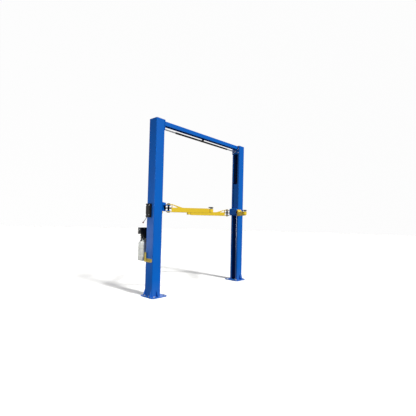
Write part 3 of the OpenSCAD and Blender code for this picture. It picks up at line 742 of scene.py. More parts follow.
@dataclass
class Workshop:
    """The camera, the lights, the pale floor and the white backdrop."""

    eye: Triple = (-5.774, -5.261, 1.613)
    heading: float = math.radians(48.128)
    pitch: float = 0.0305
    roll: float = 0.0239
    focal_px: float = 306.55
    centre_px: tuple[float, float] = (204.345, 213.523)
    frame_px: float = 416.0
    key_way: Triple = (0.0, 1.0, -1.10)
    key_energy: float = 4.0
    key_angle: float = math.radians(9.0)
    panels: tuple[Panel, ...] = (
        Panel("panel", (3.2, -9.0, 6.5), (-0.4, 0.0, 1.6), 5.0, 60.0, (1.0, 0.98, 0.95)),
        Panel("rim", (5.0, 8.0, 6.0), (0.0, 0.0, 2.0), 5.0, 240.0),
        Panel("left", (-5.2, 1.2, 2.2), (-1.6, 0.1, 1.6), 2.4, 60.0, (0.97, 0.985, 1.0)),
        Panel("low", (-3.4, 2.4, 1.1), (-1.6, 0.3, 1.0), 1.2, 15.0),
    )
    surround: float = 0.22
    floor_rings: tuple[float, ...] = (0.001, 1.0, 3.0, 8.0, 20.0, 70.0)
    dome_r: float = 68.0
    dome_glow: float = 0.97

    def camera(self) -> None:
        """Stands the camera where the photograph was taken from, level but for its pitch and roll."""
        right = Vector((math.cos(self.heading), -math.sin(self.heading), 0.0))
        level = Vector((math.sin(self.heading), math.cos(self.heading), 0.0)) * math.cos(self.pitch)
        ahead = level + Vector((0.0, 0.0, math.sin(self.pitch)))
        up = right.cross(ahead)
        across = right * math.cos(self.roll) + up * math.sin(self.roll)
        upward = up * math.cos(self.roll) - right * math.sin(self.roll)
        lens = bpy.data.cameras.new("camera")
        lens.sensor_width = 36.0
        lens.lens = self.focal_px / self.frame_px * lens.sensor_width
        lens.shift_x = (self.frame_px / 2 - self.centre_px[0]) / self.frame_px
        lens.shift_y = (self.centre_px[1] - self.frame_px / 2) / self.frame_px
        lens.clip_start, lens.clip_end = 0.1, 300.0
        turn = Matrix((across, upward, -ahead)).transposed().to_4x4()
        bpy.context.scene.camera = put("camera", lens, Matrix.Translation(self.eye) @ turn)

    def lights(self) -> None:
        """A soft distant key high in front of the bay, weak panels, and an even pale surround."""
        key = bpy.data.lights.new("key", "SUN")
        key.energy, key.angle, key.color = self.key_energy, self.key_angle, (1.0, 0.985, 0.965)
        put("key", key, self.facing(self.key_way))
        for panel in self.panels:
            lamp = bpy.data.lights.new(panel.name, "AREA")
            lamp.shape, lamp.size, lamp.energy, lamp.color = "DISK", panel.size, panel.power, panel.tint
            turn = self.facing(Vector(panel.aim) - Vector(panel.spot))
            put(panel.name, lamp, Matrix.Translation(panel.spot) @ turn)
        world = bpy.data.worlds.new("surround")
        world.use_nodes = True
        sky = world.node_tree.nodes["Background"].inputs
        sky["Color"].default_value = (0.97, 0.98, 1.0, 1.0)
        sky["Strength"].default_value = self.surround
        bpy.context.scene.world = world

    def facing(self, way: Point) -> Matrix:
        """The turn that points a lamp along way."""
        return Vector(way).to_track_quat("-Z", "Y").to_matrix().to_4x4()

    def floor(self) -> None:
        """A wide pale floor, and a white backdrop that lights nothing."""
        t, rings = angles(96), np.array(self.floor_rings)
        ground = self.staged("floor", surface(turned(rings[:, None], t, 0.0 * rings), capped=False))
        pale = bpy.data.materials.new("pale_concrete")
        pale.use_nodes = True
        tree, shader = pale.node_tree, pale.node_tree.nodes["Principled BSDF"]
        place = add_node(tree, "ShaderNodeTexCoord").outputs["Object"]
        cloud = add_node(tree, NOISE, {"Scale": 0.8, "Detail": 4.0}, Vector=place).outputs["Fac"]
        shades = {"data_type": "RGBA", "#6": linear("#fbfbfa"), "#7": linear("#f8f8f7")}
        feed(tree, shader, Base_Color=add_node(tree, MIX, shades, i0=cloud).outputs[2])
        shader.inputs["Roughness"].default_value = 0.9
        ground.data.materials.append(pale)
        ground.visible_diffuse = ground.visible_glossy = False
        v = np.linspace(math.radians(-4), math.pi / 2, 12)
        dome = turned(self.dome_r * np.cos(v)[:, None], t, self.dome_r * np.sin(v))
        back = self.staged("backdrop", surface(dome, capped=False))
        white = bpy.data.materials.new("white_backdrop")
        white.use_nodes = True
        shader = white.node_tree.nodes["Principled BSDF"]
        shader.inputs["Base Color"].default_value = (0, 0, 0, 1)
        shader.inputs["Emission Color"].default_value = (1, 1, 1, 1)
        shader.inputs["Emission Strength"].default_value = self.dome_glow
        back.data.materials.append(white)
        back.visible_diffuse = back.visible_glossy = back.visible_shadow = False
        back.visible_transmission = False

    def staged(self, name: str, shell: Shell) -> bpy.types.Object:
        """Makes a stage object from a surface.

        Args:
            name: The object's name.
            shell: Its surface.

        Returns:
            The object.
        """
        mesh = bpy.data.meshes.new(name)
        mesh.from_pydata(shell.points.tolist(), [], shell.faces)
        mesh.shade_smooth()
        obj = put(name, mesh)
        return obj


@dataclass
class Fitter:
    """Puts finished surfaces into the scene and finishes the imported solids."""

    made: int = 0

    def piece(
        self, name: str, shell: Shell, finish: Finish, body: str = "frame",
        replaces: Sequence[str] = (), crease: float = 38.0,
    ) -> bpy.types.Object:
        """Adds one piece that rides on a body.

        Args:
            name: The piece's name.
            shell: Its surface, in the row frame.
            finish: Its finish.
            body: The body that it moves with.
            replaces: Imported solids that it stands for.
            crease: Angle in degrees above which an edge stays sharp.

        Returns:
            The new object.
        """
        mesh = bpy.data.meshes.new(name)
        mesh.from_pydata(shell.points.tolist(), [], shell.faces)
        work = bmesh.new()
        work.from_mesh(mesh)
        bmesh.ops.remove_doubles(work, verts=work.verts, dist=1e-6)
        bmesh.ops.dissolve_degenerate(work, edges=work.edges, dist=1e-7)
        bmesh.ops.recalc_face_normals(work, faces=work.faces)
        work.to_mesh(mesh)
        work.free()
        mesh.shade_smooth()
        mesh.set_sharp_from_angle(angle=math.radians(crease))
        mesh.materials.append(finish.material())
        obj = put(name, mesh)
        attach(obj, body)
        if replaces:
            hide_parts(*replaces)
        self.made += 1
        log.info("%s: %d faces on %s", name, len(mesh.polygons), body)
        return obj

    def smooth_group(self) -> bpy.types.NodeTree:
        """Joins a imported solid's loose triangles and smooths across edges flatter than 30 degrees.

        Returns:
            The geometry nodes, made when they are first asked for.
        """
        group = bpy.data.node_groups.get("join_and_smooth")
        if group:
            return group
        group = bpy.data.node_groups.new("join_and_smooth", "GeometryNodeTree")
        for way in ("INPUT", "OUTPUT"):
            group.interface.new_socket("Geometry", in_out=way, socket_type="NodeSocketGeometry")
        source = add_node(group, "NodeGroupInput")
        join = add_node(group, "GeometryNodeMergeByDistance", {"Distance": 1e-5}, Geometry=source.outputs[0])
        faces = add_node(group, "GeometryNodeSetShadeSmooth", {"domain": "FACE"}, Geometry=join.outputs[0])
        angle = add_node(group, "GeometryNodeInputMeshEdgeAngle").outputs["Unsigned Angle"]
        above = {"data_type": "FLOAT", "operation": "GREATER_THAN", "B": math.radians(30)}
        sharp = add_node(group, "FunctionNodeCompare", above, A=angle)
        edges = add_node(
            group, "GeometryNodeSetShadeSmooth", {"domain": "EDGE", "Shade Smooth": False},
            Geometry=faces.outputs[0], Selection=sharp.outputs[0],
        )
        add_node(group, "NodeGroupOutput", Geometry=edges.outputs[0])
        return group

    def dress(self, node: str, finish: Finish, edge: float) -> None:
        """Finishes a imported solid: its material, smooth round faces, and softened edges.

        Args:
            node: The solid's name.
            finish: Its finish.
            edge: Width of the softened edges, or 0 to leave them as cut.
        """
        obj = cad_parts[node]
        if obj.material_slots:
            for place in obj.material_slots:
                place.material = finish.material()
        else:
            obj.data.materials.append(finish.material())
        join = obj.modifiers.new("join_and_smooth", "NODES")
        join.node_group = self.smooth_group()
        if edge:
            soften = obj.modifiers.new("softened_edges", "BEVEL")
            soften.width, soften.segments = edge, 2
            soften.limit_method, soften.angle_limit = "ANGLE", math.radians(40)
            soften.harden_normals = True


@dataclass
class Fasteners:
    """Hexagon bolts, nuts and studs of one thread."""

    across: float = 0.030
    thread_r: float = 0.010

    def washer(self, radius: float, thick: float) -> Shell:
        """A plain washer on Z = 0, closed in the middle by the bolt that it is under.

        Args:
            radius: Its radius.
            thick: Its thickness.

        Returns:
            The closed surface.
        """
        b = thick * 0.25
        rim = [(radius - b, 0.0), (radius, b), (radius, thick - b), (radius - b, thick)]
        return lathe([(0.0, 0.0), *rim, (0.0, thick)], 40)

    def head(self, washer_r: float, washer_t: float, height: float) -> Shell:
        """A hexagon head or nut on a washer that lies on Z = 0."""
        nut = hexagon(self.across, height, self.across * 0.05, math.pi / 6)
        return Shell.joined([self.washer(washer_r, washer_t), nut.moved((0, 0, washer_t))])

    def stud(self, high: float, pitch: float = 0.0025) -> Shell:
        """A threaded end from Z = 0 up.

        The radius falls and rises once each pitch as a triangle wave of 0.54 of the pitch, and
        the end is chamfered.

        Args:
            high: Its height.
            pitch: Height of a turn of the thread.

        Returns:
            The closed surface.
        """
        turns = max(2, int(high / pitch))
        z = np.linspace(0.0, high, turns * 2 + 1)
        r = self.thread_r - 0.54 * pitch * (np.arange(len(z)) % 2)
        r[-1] = self.thread_r - pitch
        return lathe([(0.0, 0.0), *zip(r, z), (0.0, high)], 20)


@dataclass
class FloorFixings:
    """The anchor studs, nuts and washers on both base plates, and the beads round the columns."""

    washer_r: float = 0.021
    washer_t: float = 0.004
    nut_h: float = 0.016
    stud_top: float = 0.048
    foot_bead_r: float = 0.006
    gusset_bead_r: float = 0.0045
    outer_x: float = -0.032
    outer_y: float = 0.075
    middle_x: float = 0.020
    middle_margin: float = 0.042
    inner_x: float = 0.315
    inner_margin: float = 0.072

    def spots(self) -> list[Triple]:
        """The anchor holes in a side's own frame, at the top of the base plate.

        Returns:
            One point for each hole.
        """
        rows = (
            (self.outer_x, self.outer_y),
            (self.middle_x, SIZES.base_half - self.middle_margin),
            (self.inner_x, SIZES.base_half - self.inner_margin),
        )
        return [(x, e * y, SIZES.base_t) for x, y in rows for e in BOTH]

    def build(self, fitter: Fitter) -> None:
        """Adds the anchors and the beads of both base plates.

        Args:
            fitter: Puts the pieces into the scene.
        """
        kit = Fasteners()
        nut = kit.head(self.washer_r, self.washer_t, self.nut_h)
        anchors = Shell.joined([nut, kit.stud(self.stud_top - SIZES.base_t)]).copied(self.spots())
        beads = Shell.joined([self.foot_bead(), self.gusset_beads()])
        for side in Side:
            fitter.piece(f"{side.word}_anchors", anchors.at(Place(side)), ZINC)
        fitter.piece("base_welds", Shell.joined([beads.at(Place(side)) for side in Side]), BLUE)

    def foot_bead(self) -> Shell:
        """The fillet round a column's foot, open at the slot.

        Returns:
            The bead, in a side's own frame.
        """
        z, slot = SIZES.base_t, SIZES.slot_half
        outline = soft_rectangle(SIZES.col_depth, 2 * SIZES.col_half, SIZES.col_r, 4)
        foot = np.column_stack((outline[:, 0] + SIZES.col_depth / 2, outline[:, 1], np.full(len(outline), z)))
        line = np.vstack(([SIZES.col_depth, slot, z], foot, [SIZES.col_depth, -slot, z]))
        return bead(line, self.foot_bead_r)

    def gusset_beads(self) -> Shell:
        """Fillets along both faces of a base plate's four gussets.

        Returns:
            The beads, in a side's own frame.
        """
        t, z = SIZES.gusset_t, SIZES.base_t
        flat = SIZES.col_half - SIZES.col_r - 0.001
        faces = (-flat, t - flat, flat - t, flat)
        outer = [self.fillet((0.0, y, z), (-1, 0, 0), 0.046, 0.138) for y in faces]
        middle = SIZES.col_depth / 2
        beside = [
            self.fillet((x, e * SIZES.col_half, z), (0, e, 0), 0.060, 0.118)
            for e in BOTH for x in (middle - t / 2, middle + t / 2)
        ]
        return Shell.joined(outer + beside)

    def fillet(self, foot: Point, way: Point, out: float, up: float) -> Shell:
        """A bead along one face of a gusset.

        Args:
            foot: Where the face, the column and the base plate meet.
            way: Direction out along the base plate.
            out: Length along the base plate.
            up: Length up the column.

        Returns:
            The bead, with its corner cut.
        """
        away, rise = np.array(way, float), np.array((0.0, 0.0, 1.0))
        steps = (out * away, 0.002 * away, 0.004 * rise, up * rise)
        return bead([np.array(foot) + step for step in steps], self.gusset_bead_r)


@dataclass
class Overhead:
    """The beads and bolts at the heads of the columns, the foam on the shut-off bar, the switch."""

    bolt_y: float = 0.088
    bolt_drops: Triple = (0.032, 0.078, 0.188)
    foam_ties: int = 5
    tie_half: float = 0.0035
    tie_t: float = 0.0012
    lid_deep: float = 0.026

    def build(self, fitter: Fitter) -> None:
        """Adds the overhead pieces.

        Args:
            fitter: Puts the pieces into the scene.
        """
        self.heads(fitter)
        self.foam(fitter)
        self.switch(fitter)

    def heads(self, fitter: Fitter) -> None:
        """Bolts on the head plates, and the beads of the beam and the head plates.

        Args:
            fitter: Puts the pieces into the scene.
        """
        top, face = SIZES.col_top, SIZES.col_depth + SIZES.head_t
        bolt = Fasteners(across=0.024).head(0.0155, 0.003, 0.010).turned_to((1, 0, 0))
        bolts = bolt.copied([(face, e * self.bolt_y, top - d) for e in BOTH for d in self.bolt_drops])
        under, foot, half = top - SIZES.beam_h, top - SIZES.head_h, SIZES.beam_half
        beads = []
        for e in BOTH:
            edge = ((half, top - 0.004), (half, under), (half - 0.016, under))
            beads.append(bead([(face, e * y, z) for y, z in edge], 0.005))
            ends = (SIZES.col_half - 0.006, SIZES.col_half - 0.050)
            beads.append(bead([(SIZES.col_depth, e * y, foot) for y in ends], 0.004))
        for side in Side:
            fitter.piece(f"{side.word}_head_bolts", bolts.at(Place(side)), ZINC)
        welds = Shell.joined(beads)
        fitter.piece("head_welds", Shell.joined([welds.at(Place(side)) for side in Side]), BLUE)

    def foam(self, fitter: Fitter) -> None:
        """The closed-cell sleeve with its lengthwise slit and the ties that hold it shut.

        The radius is the sleeve's, less a pinch at each tie that fades as a bell curve, less a
        groove at the slit, with slow waves of under a millimetre, and its ends are rounded.

        Args:
            fitter: Puts the pieces into the scene.
        """
        half, count = SIZES.foam_half, self.foam_ties
        x, t = np.linspace(-half, half, 700), angles(40)
        ties = ((np.arange(count) + 0.5) / count * 2 - 1) * half
        pinch = np.exp(-(((x[:, None] - ties[None]) / 0.011) ** 2)).sum(1)
        slow = np.sin(x * 23.0)[:, None] * np.sin(2 * t + 0.7)[None]
        quick = np.sin(x * 61.0 + 1.0)[:, None] * np.sin(3 * t)[None]
        slit = np.exp(-((((t - 1.5 * math.pi + math.pi) % TAU - math.pi) / 0.09) ** 2))
        full = SIZES.foam_r - 0.0007 - 0.0026 * pinch[:, None] - 0.0022 * slit[None] + 0.0004 * (slow + quick)
        end = np.clip((half - np.abs(x)) / 0.007, 0, 1)[:, None]
        bore = SIZES.bar_r + 0.0003
        r = bore + (full - bore) * np.sqrt(1 - (1 - end) ** 2)
        grid = turned(r, t, x)[..., [2, 0, 1]] + np.array((0.0, 0.0, SIZES.bar_z))
        sleeve = fitter.piece("foam_sleeve", surface(grid), FOAM, "shutoff_bar", ["bar_padding"], 60.0)
        w, thick, r0 = self.tie_half, self.tie_t, SIZES.foam_r - 0.0028
        outer = [(r0, -w), (r0 + thick, 0.001 - w), (r0 + thick, w - 0.001), (r0, w)]
        band = lathe([(0.016, -w), *outer, (0.016, w)], 48).turned_to((1, 0, 0))
        lock = soft_box((-0.003, -w, 0.0), (0.003, w, 0.0042), 0.001, 0.0008).moved((0, 0, r0 - 0.001))
        spots = [(tie, 0.0, SIZES.bar_z) for tie in ties]
        fitter.piece("foam_ties", Shell.joined([band, lock]).copied(spots), BLACK_PLASTIC, "shutoff_bar")

    def switch(self, fitter: Fitter) -> None:
        """The switch's lid with its four screws.

        Args:
            fitter: Puts the pieces into the scene.
        """
        lo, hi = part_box("limit_switch")
        y, z0, z1 = hi.y - self.lid_deep, lo.z, hi.z
        lid = soft_box((-0.003, y - 0.003, z0 + 0.003), (0.043, y + 0.001, z1 - 0.018), 0.001, 0.001)
        screw = lathe([(0, 0), (0.0032, 0), (0.0032, 0.0012), (0.0022, 0.0022), (0, 0.0022)], 16)
        spots = [(x, y - 0.003, z) for x in (0.002, 0.038) for z in (z0 + 0.008, z1 - 0.023)]
        fitter.piece("switch_lid", lid, BLACK_PLASTIC)
        fitter.piece("switch_screws", screw.turned_to((0, -1, 0)).copied(spots), ZINC)


@dataclass
class PowerUnit:
    """The tank, pump, motor and control box behind the power column."""

    tank_edge: float = 0.024
    tank_lip: float = 0.005
    band_spots: tuple[float, float] = (0.28, 0.56)
    band_half: float = 0.018
    band_deep: float = 0.003
    ridge: float = 0.0012
    cap_x: float = 0.078
    cap_ribs: int = 20
    drain_z: float = 0.040
    fan_slots: int = 18
    flange_bolts_r: float = 0.0705

    def centre(self, z: float) -> Triple:
        """A point on the unit's upright middle line, in the row frame."""
        return -SIZES.half_span + SIZES.unit_x, SIZES.unit_y, z

    def build(self, fitter: Fitter) -> None:
        """Adds the power unit's pieces.

        Args:
            fitter: Puts the pieces into the scene.
        """
        self.tank(fitter)
        self.caps(fitter)
        self.pump(fitter)
        self.motor(fitter)
        self.box(fitter)

    def half_width(self, z: np.ndarray) -> np.ndarray:
        """The tank's half width at heights above its foot.

        It falls evenly with height by the draft, then along the shoulder to the neck by a blend
        3s^2 - 2s^3 mixed with a straight line. It is drawn in by a quarter circle at the foot
        and at the neck, and in two bands.

        Args:
            z: The heights.

        Returns:
            The half width at each of them.
        """
        h, edge, lip, rise = SIZES.tank_h, self.tank_edge, self.tank_lip, SIZES.tank_shoulder
        wall = SIZES.tank_half - SIZES.tank_draft * np.clip((z - edge) / (h - rise - edge), 0, 1)
        s = np.clip((z - h + rise) / rise, 0, 1)
        slope = 0.45 * s + 0.55 * (3 * s**2 - 2 * s**3)
        wall += (SIZES.tank_neck - SIZES.tank_half + SIZES.tank_draft) * slope
        foot, neck = np.clip(z / edge, 0, 1), np.clip((h - z) / lip, 0, 1)
        wall -= edge * (1 - np.sqrt(1 - (1 - foot) ** 2)) + lip * (1 - np.sqrt(1 - (1 - neck) ** 2))
        bands = sum(np.clip((self.band_half - np.abs(z - c * h)) / 0.006, 0, 1) for c in self.band_spots)
        return wall - self.ridge - self.band_deep * bands

    def tank(self, fitter: Fitter) -> None:
        """The blow-moulded tank: drafted walls, sloping shoulders, two bands and a parting line.

        A level's section is |x/a|^5 + |y/a|^5 = 1 for the half width a, with a ridge where the
        mould's halves met.

        Args:
            fitter: Puts the pieces into the scene.
        """
        h, edge, lip, rise = SIZES.tank_h, self.tank_edge, self.tank_lip, SIZES.tank_shoulder
        foot, wall = np.linspace(0, edge, 8), np.linspace(edge, h - rise, 100)[1:-1]
        shoulder, neck = np.linspace(h - rise, h - lip, 24), np.linspace(h - lip, h, 5)[1:]
        z, t = np.concatenate((foot, wall, shoulder, neck)), angles(96)
        section = (np.abs(np.cos(t)) ** 5 + np.abs(np.sin(t)) ** 5) ** -0.2
        ridge = self.ridge * np.exp(-((np.sin(t) / 0.02) ** 2))
        r = self.half_width(z)[:, None] * section + ridge * (z[:, None] > 0.4 * edge)
        shell = surface(turned(r, t, z)).moved(self.centre(SIZES.tank_z))
        fitter.piece("tank_shell", shell, TANK, replaces=["fluid_tank"], crease=50.0)

    def caps(self, fitter: Fitter) -> None:
        """The filler's boss on the tank's shoulder with its cap, and the drain plug.

        Args:
            fitter: Puts the pieces into the scene.
        """
        x, y, z = self.centre(SIZES.tank_z)
        spot = (x - self.cap_x, y, z + SIZES.tank_h - 0.002)
        boss = lathe([(0, -0.060), (0.0150, -0.060), (0.0150, -0.019), (0.0140, -0.018), (0, -0.018)], 36)
        fitter.piece("filler_boss", boss.moved(spot), TANK)
        fitter.piece("filler_cap", self.ribbed_cap().moved(spot), BLACK_PLASTIC)
        drain = hexagon(0.017, 0.006, 0.001).turned_to((0, -1, 0))
        fitter.piece("drain_plug", drain.moved((x, y - SIZES.tank_half + 0.002, z + self.drain_z)), ZINC)

    def ribbed_cap(self) -> Shell:
        """A screw cap with its top at Z = 0, whose rim is ribbed for the hand.

        The radius is the cap's at each height, less 0.7 mm (1 - |cos(n t / 2)|) for n ribs, and
        only round the rim.

        Returns:
            The closed surface.
        """
        r = np.array((0.0, 0.0168, 0.0178, 0.0178, 0.0165, 0.0070, 0.0))[:, None]
        z = np.array((-0.0185, -0.0185, -0.0175, -0.0030, -0.0012, 0.0, 0.0))
        rim = np.array((0.0, 0.3, 1.0, 1.0, 0.3, 0.0, 0.0))[:, None]
        t = angles(self.cap_ribs * 6)
        return surface(turned(r - 0.0007 * rim * (1 - np.abs(np.cos(self.cap_ribs * t / 2))), t, z))

    def pump(self, fitter: Fitter) -> None:
        """Plugs and the lowering valve on the pump block.

        Args:
            fitter: Puts the pieces into the scene.
        """
        x, y, z = self.centre(SIZES.tank_z + SIZES.tank_h + SIZES.pump_h / 2)
        half, left = SIZES.pump_half, x - SIZES.pump_half
        plug = hexagon(0.019, 0.007, 0.0012)
        beside = plug.turned_to((-1, 0, 0)).copied([(left, y + e * 0.022, z) for e in BOTH])
        behind = plug.turned_to((0, 1, 0)).moved((x + 0.02, y + half, z))
        fitter.piece("port_plugs", Shell.joined([beside, behind]), ZINC)
        stem = lathe([(0, 0), (0.010, 0), (0.010, 0.012), (0.006, 0.014), (0.006, 0.030), (0, 0.030)], 24)
        arm = swept([(0, 0, 0), (0, 0, 0.020), (-0.006, 0, 0.050), (-0.010, 0, 0.072)], 0.0042, (0, 1, 0), 12)
        handle = [(0.007, 0.001), (0.0085, 0.010), (0.0085, 0.028), (0.006, 0.034)]
        grip = lathe([(0, 0), *handle, (0, 0.035)], 20)
        valve = [stem.turned_to((-1, 0, 0)).moved((left, y, z)), arm.moved((left - 0.024, y, z))]
        fitter.piece("lowering_valve", Shell.joined(valve), ZINC)
        fitter.piece("valve_grip", grip.moved((left - 0.034, y, z + 0.068)), BLACK_PLASTIC)

    def motor(self, fitter: Fitter) -> None:
        """The fan cover with its slots drawn as dark pads of painted shade, and the flange with its bolts at
        the motor's foot.

        Args:
            fitter: Puts the pieces into the scene.
        """
        x, y, top = self.centre(SIZES.motor_z + SIZES.motor_h)
        foot, r = SIZES.motor_z, SIZES.motor_r
        cowl = lathe([
            (0.0, -0.050), (0.070, -0.050), (0.0735, -0.049), (0.0752, -0.046), (0.0752, -0.014),
            (0.0735, -0.0105), (0.0655, -0.010), (0.064, -0.003), (0.056, -0.001), (0.052, 0.0), (0.0, 0.0),
        ], 72)
        fitter.piece("fan_cover", cowl.moved((x, y, top + 0.0005)), BLACK_PAINT)
        # The slots are thin near-black pads on the cover's top, painted shade in place of openings.
        slot = soft_box((-0.0022, 0.014, 0.0), (0.0022, 0.046, 0.0012), 0.002, 0.0004)
        fitter.piece("fan_slots", slot.ringed(self.fan_slots).moved((x, y, top - 0.0003)), RUBBER)
        flange = lathe([(0, 0), (r + 0.002, 0), (r + 0.002, 0.007), (r - 0.002, 0.009), (0, 0.009)], 72)
        fitter.piece("motor_flange", flange.moved((x, y, foot)), BLACK_PAINT)
        ring, corners = self.flange_bolts_r, angles(4) + math.pi / 4
        spots = [(x + ring * math.cos(a), y + ring * math.sin(a), foot + 0.009) for a in corners]
        fitter.piece("motor_bolts", hexagon(0.010, 0.005, 0.0006).copied(spots), ZINC)

    def box(self, fitter: Fitter) -> None:
        """The control box's lid, its push button with a guard ring, and four screws.

        Args:
            fitter: Puts the pieces into the scene.
        """
        (x, y0, z0), (_, y1, z1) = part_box("control_box")
        deep, wide = (z1 - z0) / 2 - 0.002, (y1 - y0) / 2 - 0.002
        y, z, out = (y0 + y1) / 2, (z0 + z1) / 2, (-1, 0, 0)
        lid = soft_box((-deep, -wide, 0), (deep, wide, 0.004), 0.008, 0.002).turned_to(out)
        fitter.piece("control_lid", lid.moved((x + 0.003, y, z)), BLACK_PLASTIC)
        guard = [(0.0165, 0), (0.0165, 0.004), (0.0150, 0.006), (0.0125, 0.006), (0.0118, 0.003)]
        ring = lathe([(0, 0), *guard, (0, 0.003)], 40)
        button = lathe([(0, 0), (0.0108, 0), (0.0108, 0.006), (0.0090, 0.0075), (0, 0.0080)], 36)
        spot = (x - 0.0005, y, z + 0.022)
        fitter.piece("button_ring", ring.turned_to(out).moved(spot), ZINC)
        fitter.piece("push_button", button.turned_to(out).moved(spot), BLACK_PLASTIC)
        screw = lathe([(0, 0), (0.0036, 0), (0.0034, 0.0012), (0.0022, 0.0022), (0, 0.0024)], 16)
        spots = [(x - 0.001, b, c) for b in (y0 + 0.010, y1 - 0.010) for c in (z0 + 0.010, z1 - 0.010)]
        fitter.piece("lid_screws", screw.turned_to(out).copied(spots), ZINC)


@dataclass
class SwingArm:
    """One swing arm's beads and its lifting pad."""

    side: Side
    end: End
    pad_edge: float = 0.004
    pad_gap: float = 0.0002
    tread_pitch: float = 0.0115
    tread_half: float = 0.0022
    tread_deep: float = 0.0016

    @property
    def word(self) -> str:
        """How the names of the arm's nodes and bodies start."""
        return f"{self.side.word}_{self.end.word}"

    def build(self, fitter: Fitter) -> None:
        """Adds the arm's pieces."""
        self.welds(fitter)
        self.pad(fitter)

    def welds(self, fitter: Fitter) -> None:
        """Beads where the yoke's ramp and its side plates' ends meet the tube.

        Args:
            fitter: Puts the pieces into the scene.
        """
        half, z, toe = SIZES.tube / 2, SIZES.raised, SIZES.ramp_end + 0.001
        top = z + SIZES.tube
        lines = [bead([(toe, e * (half - 0.003), top + 0.0015) for e in BOTH], 0.0040)]
        for e in BOTH:
            ends = (z + 0.004, top + 0.050)
            lines.append(bead([(SIZES.yoke_back, e * half, end) for end in ends], 0.0032))
        welds = Shell.joined(lines).at(Place(self.side, self.end))
        fitter.piece(f"{self.word}_arm_welds", welds, YELLOW, f"{self.word}_arm")

    def pad(self, fitter: Fitter) -> None:
        """The moulded rubber pad, with rings of tread on its face and a rounded rim.

        The height is that of a disc with a rounded rim, less the tread's depth in grooves
        between the rings.

        Args:
            fitter: Puts the pieces into the scene.
        """
        r, t, e = SIZES.socket_r - self.pad_gap, SIZES.pad_t, self.pad_edge
        ring = np.linspace(r - e, 0.0, 92)
        beyond = self.tread_half - np.abs(ring % self.tread_pitch - self.tread_pitch / 2)
        groove = np.clip(beyond / 0.0008, 0, 1) * (ring > 0.004) * (ring < r - e - 0.002)
        face = np.column_stack((ring, t - self.tread_deep * groove))
        a = np.linspace(0, math.pi / 2, 6)
        rim = np.column_stack((r - e + e * np.cos(a), t - e + e * np.sin(a)))
        low = [(0.0, 0.0), (r - 0.002, 0.0), (r, 0.002), (r, t - e - 0.001)]
        shell = lathe(np.vstack((low, rim, face[1:])), 72).moved((SIZES.socket_x(self.end), 0.0, SIZES.pad_z))
        fitter.piece(
            f"{self.word}_tread_pad", shell.at(Place(self.side, self.end)), RUBBER,
            f"{self.word}_inner_arm", [f"{self.word}_pad"], 42.0,
        )


@dataclass
class CarriageTrim:
    """Beads on a carriage's lug box, and grease nipples in its arm pins."""

    side: Side
    box_x: float = 0.246
    box_half: float = 0.115
    lug_low: float = 0.033
    lug_high: float = 0.017
    pin_head: float = 0.015

    def build(self, fitter: Fitter) -> None:
        """Adds the carriage's pieces.

        Args:
            fitter: Puts the pieces into the scene.
        """
        place, word = Place(self.side), self.side.word
        ends, heights = (self.box_x, SIZES.pivot_x - 0.006), (self.lug_low, self.lug_high)
        lines = [
            bead([(x, e * self.box_half, SIZES.yoke_top - under) for x in ends], 0.0040)
            for e in BOTH for under in heights
        ]
        fitter.piece(f"{word}_lug_welds", Shell.joined(lines).at(place), BLUE, f"{word}_carriage")
        ball = [(0.0026, 0.007), (0.0034, 0.009), (0.0026, 0.011), (0, 0.012)]
        nipple = lathe([(0, 0), (0.0050, 0), (0.0050, 0.004), (0.0026, 0.005), *ball], 20)
        spots = [(SIZES.pivot_x, e * SIZES.pivot_side, SIZES.yoke_top + self.pin_head) for e in BOTH]
        fitter.piece(f"{word}_grease_nipples", nipple.copied(spots).at(place), ZINC, f"{word}_carriage")


@dataclass
class LockTrim:
    """The screws of both lock covers."""

    columns: tuple[float, float] = (-0.012, 0.090)
    low: float = 0.055
    high: float = 0.040

    def build(self, fitter: Fitter) -> None:
        """Adds the cover screws.

        Args:
            fitter: Puts the pieces into the scene.
        """
        screw = Fasteners(across=0.013).head(0.009, 0.0016, 0.0053).turned_to((-1, 0, 0))
        heights = (SIZES.cover_z + self.low, SIZES.cover_z + SIZES.cover_h - self.high)
        screws = screw.copied([(-SIZES.cover_deep, y, z) for y in self.columns for z in heights])
        for side in Side:
            fitter.piece(f"{side.word}_cover_screws", screws.at(Place(side)), ZINC)


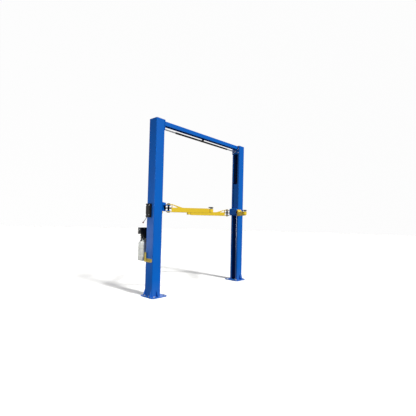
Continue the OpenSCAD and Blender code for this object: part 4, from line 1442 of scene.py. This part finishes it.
FINISHES: dict[str, tuple[Finish, float]] = {
    "base_plates": (BLUE, 0.0), "gussets": (BLUE, 0.001), "power_column": (BLUE, 0.0),
    "off_column": (BLUE, 0.0), "cap_plates": (BLUE, 0.001), "head_plates": (BLUE, 0.0015),
    "crossbeam": (BLUE, 0.002), "bar_brackets": (ZINC, 0.001), "limit_switch": (BLACK_PLASTIC, 0.0015),
    # The rods' chrome is darkened as painted shade for the dark slots.
    "cylinder_rods": (CHROME, 0.0), "latch_covers": (BLACK_PLASTIC, 0.0012),
    "latch_mounts": (STEEL, 0.0008), "off_latch_dog": (STEEL, 0.0008),
    "power_unit_bracket": (BLACK_PAINT, 0.0012), "pump_block": (BLACK_PAINT, 0.0015),
    "motor": (BLACK_PAINT, 0.0), "control_box": (BLACK_PLASTIC, 0.003), "fluid_tank": (TANK, 0.0),
    # The adapter rack's yellow is greyed and darkened as painted shade.
    "adapter_rack": (SHADED_WORN_YELLOW, 0.001), "release_lever": (BLACKENED, 0.0), "lever_knob": (KNOB, 0.0),
    "power_latch_dog": (STEEL, 0.0008), "shutoff_bar": (ZINC, 0.0), "bar_padding": (FOAM, 0.0),
}
SIDE_FINISHES: dict[str, tuple[Finish, float]] = {
    "carriage": (BLUE, 0.0015), "slide_blocks": (GUIDE, 0.001), "cylinder": (BLACK_PAINT, 0.0),
    "arm_pins": (BLACKENED, 0.001), "restraint_pawls": (BLACK_PAINT, 0.0006), "lock_ladder": (STEEL, 0.0008),
}
ARM_FINISHES: dict[str, tuple[Finish, float]] = {
    "arm": (YELLOW, 0.0025), "gear": (BLACK_PAINT, 0.0006), "inner_arm": (YELLOW, 0.0015),
    "pad_stem": (ZINC, 0.001), "pad": (RUBBER, 0.0),
}


def finish_solids(fitter: Fitter) -> None:
    """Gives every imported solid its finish, and its edges their width.

    Args:
        fitter: Puts the pieces into the scene.
    """
    rows = dict(FINISHES)
    for side in Side:
        rows.update({f"{side.word}_{k}": v for k, v in SIDE_FINISHES.items()})
        for end in End:
            rows.update({f"{side.word}_{end.word}_{k}": v for k, v in ARM_FINISHES.items()})
    for node, (finish, edge) in rows.items():
        fitter.dress(node, finish, edge)
    log.info("finished %d solids", len(rows))


def main() -> None:
    """Builds the lift's dressing in order."""
    logging.basicConfig(level=logging.INFO, format="%(name)s: %(message)s")
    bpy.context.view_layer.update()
    bpy.context.scene.view_settings.view_transform = "Standard"
    workshop = Workshop()
    workshop.camera()
    workshop.lights()
    workshop.floor()
    fitter = Fitter()
    finish_solids(fitter)
    FloorFixings().build(fitter)
    Overhead().build(fitter)
    PowerUnit().build(fitter)
    for side in Side:
        CarriageTrim(side).build(fitter)
        for end in End:
            SwingArm(side, end).build(fitter)
    LockTrim().build(fitter)
    log.info("%d pieces added", fitter.made)


if __name__ == "__main__":
    main()
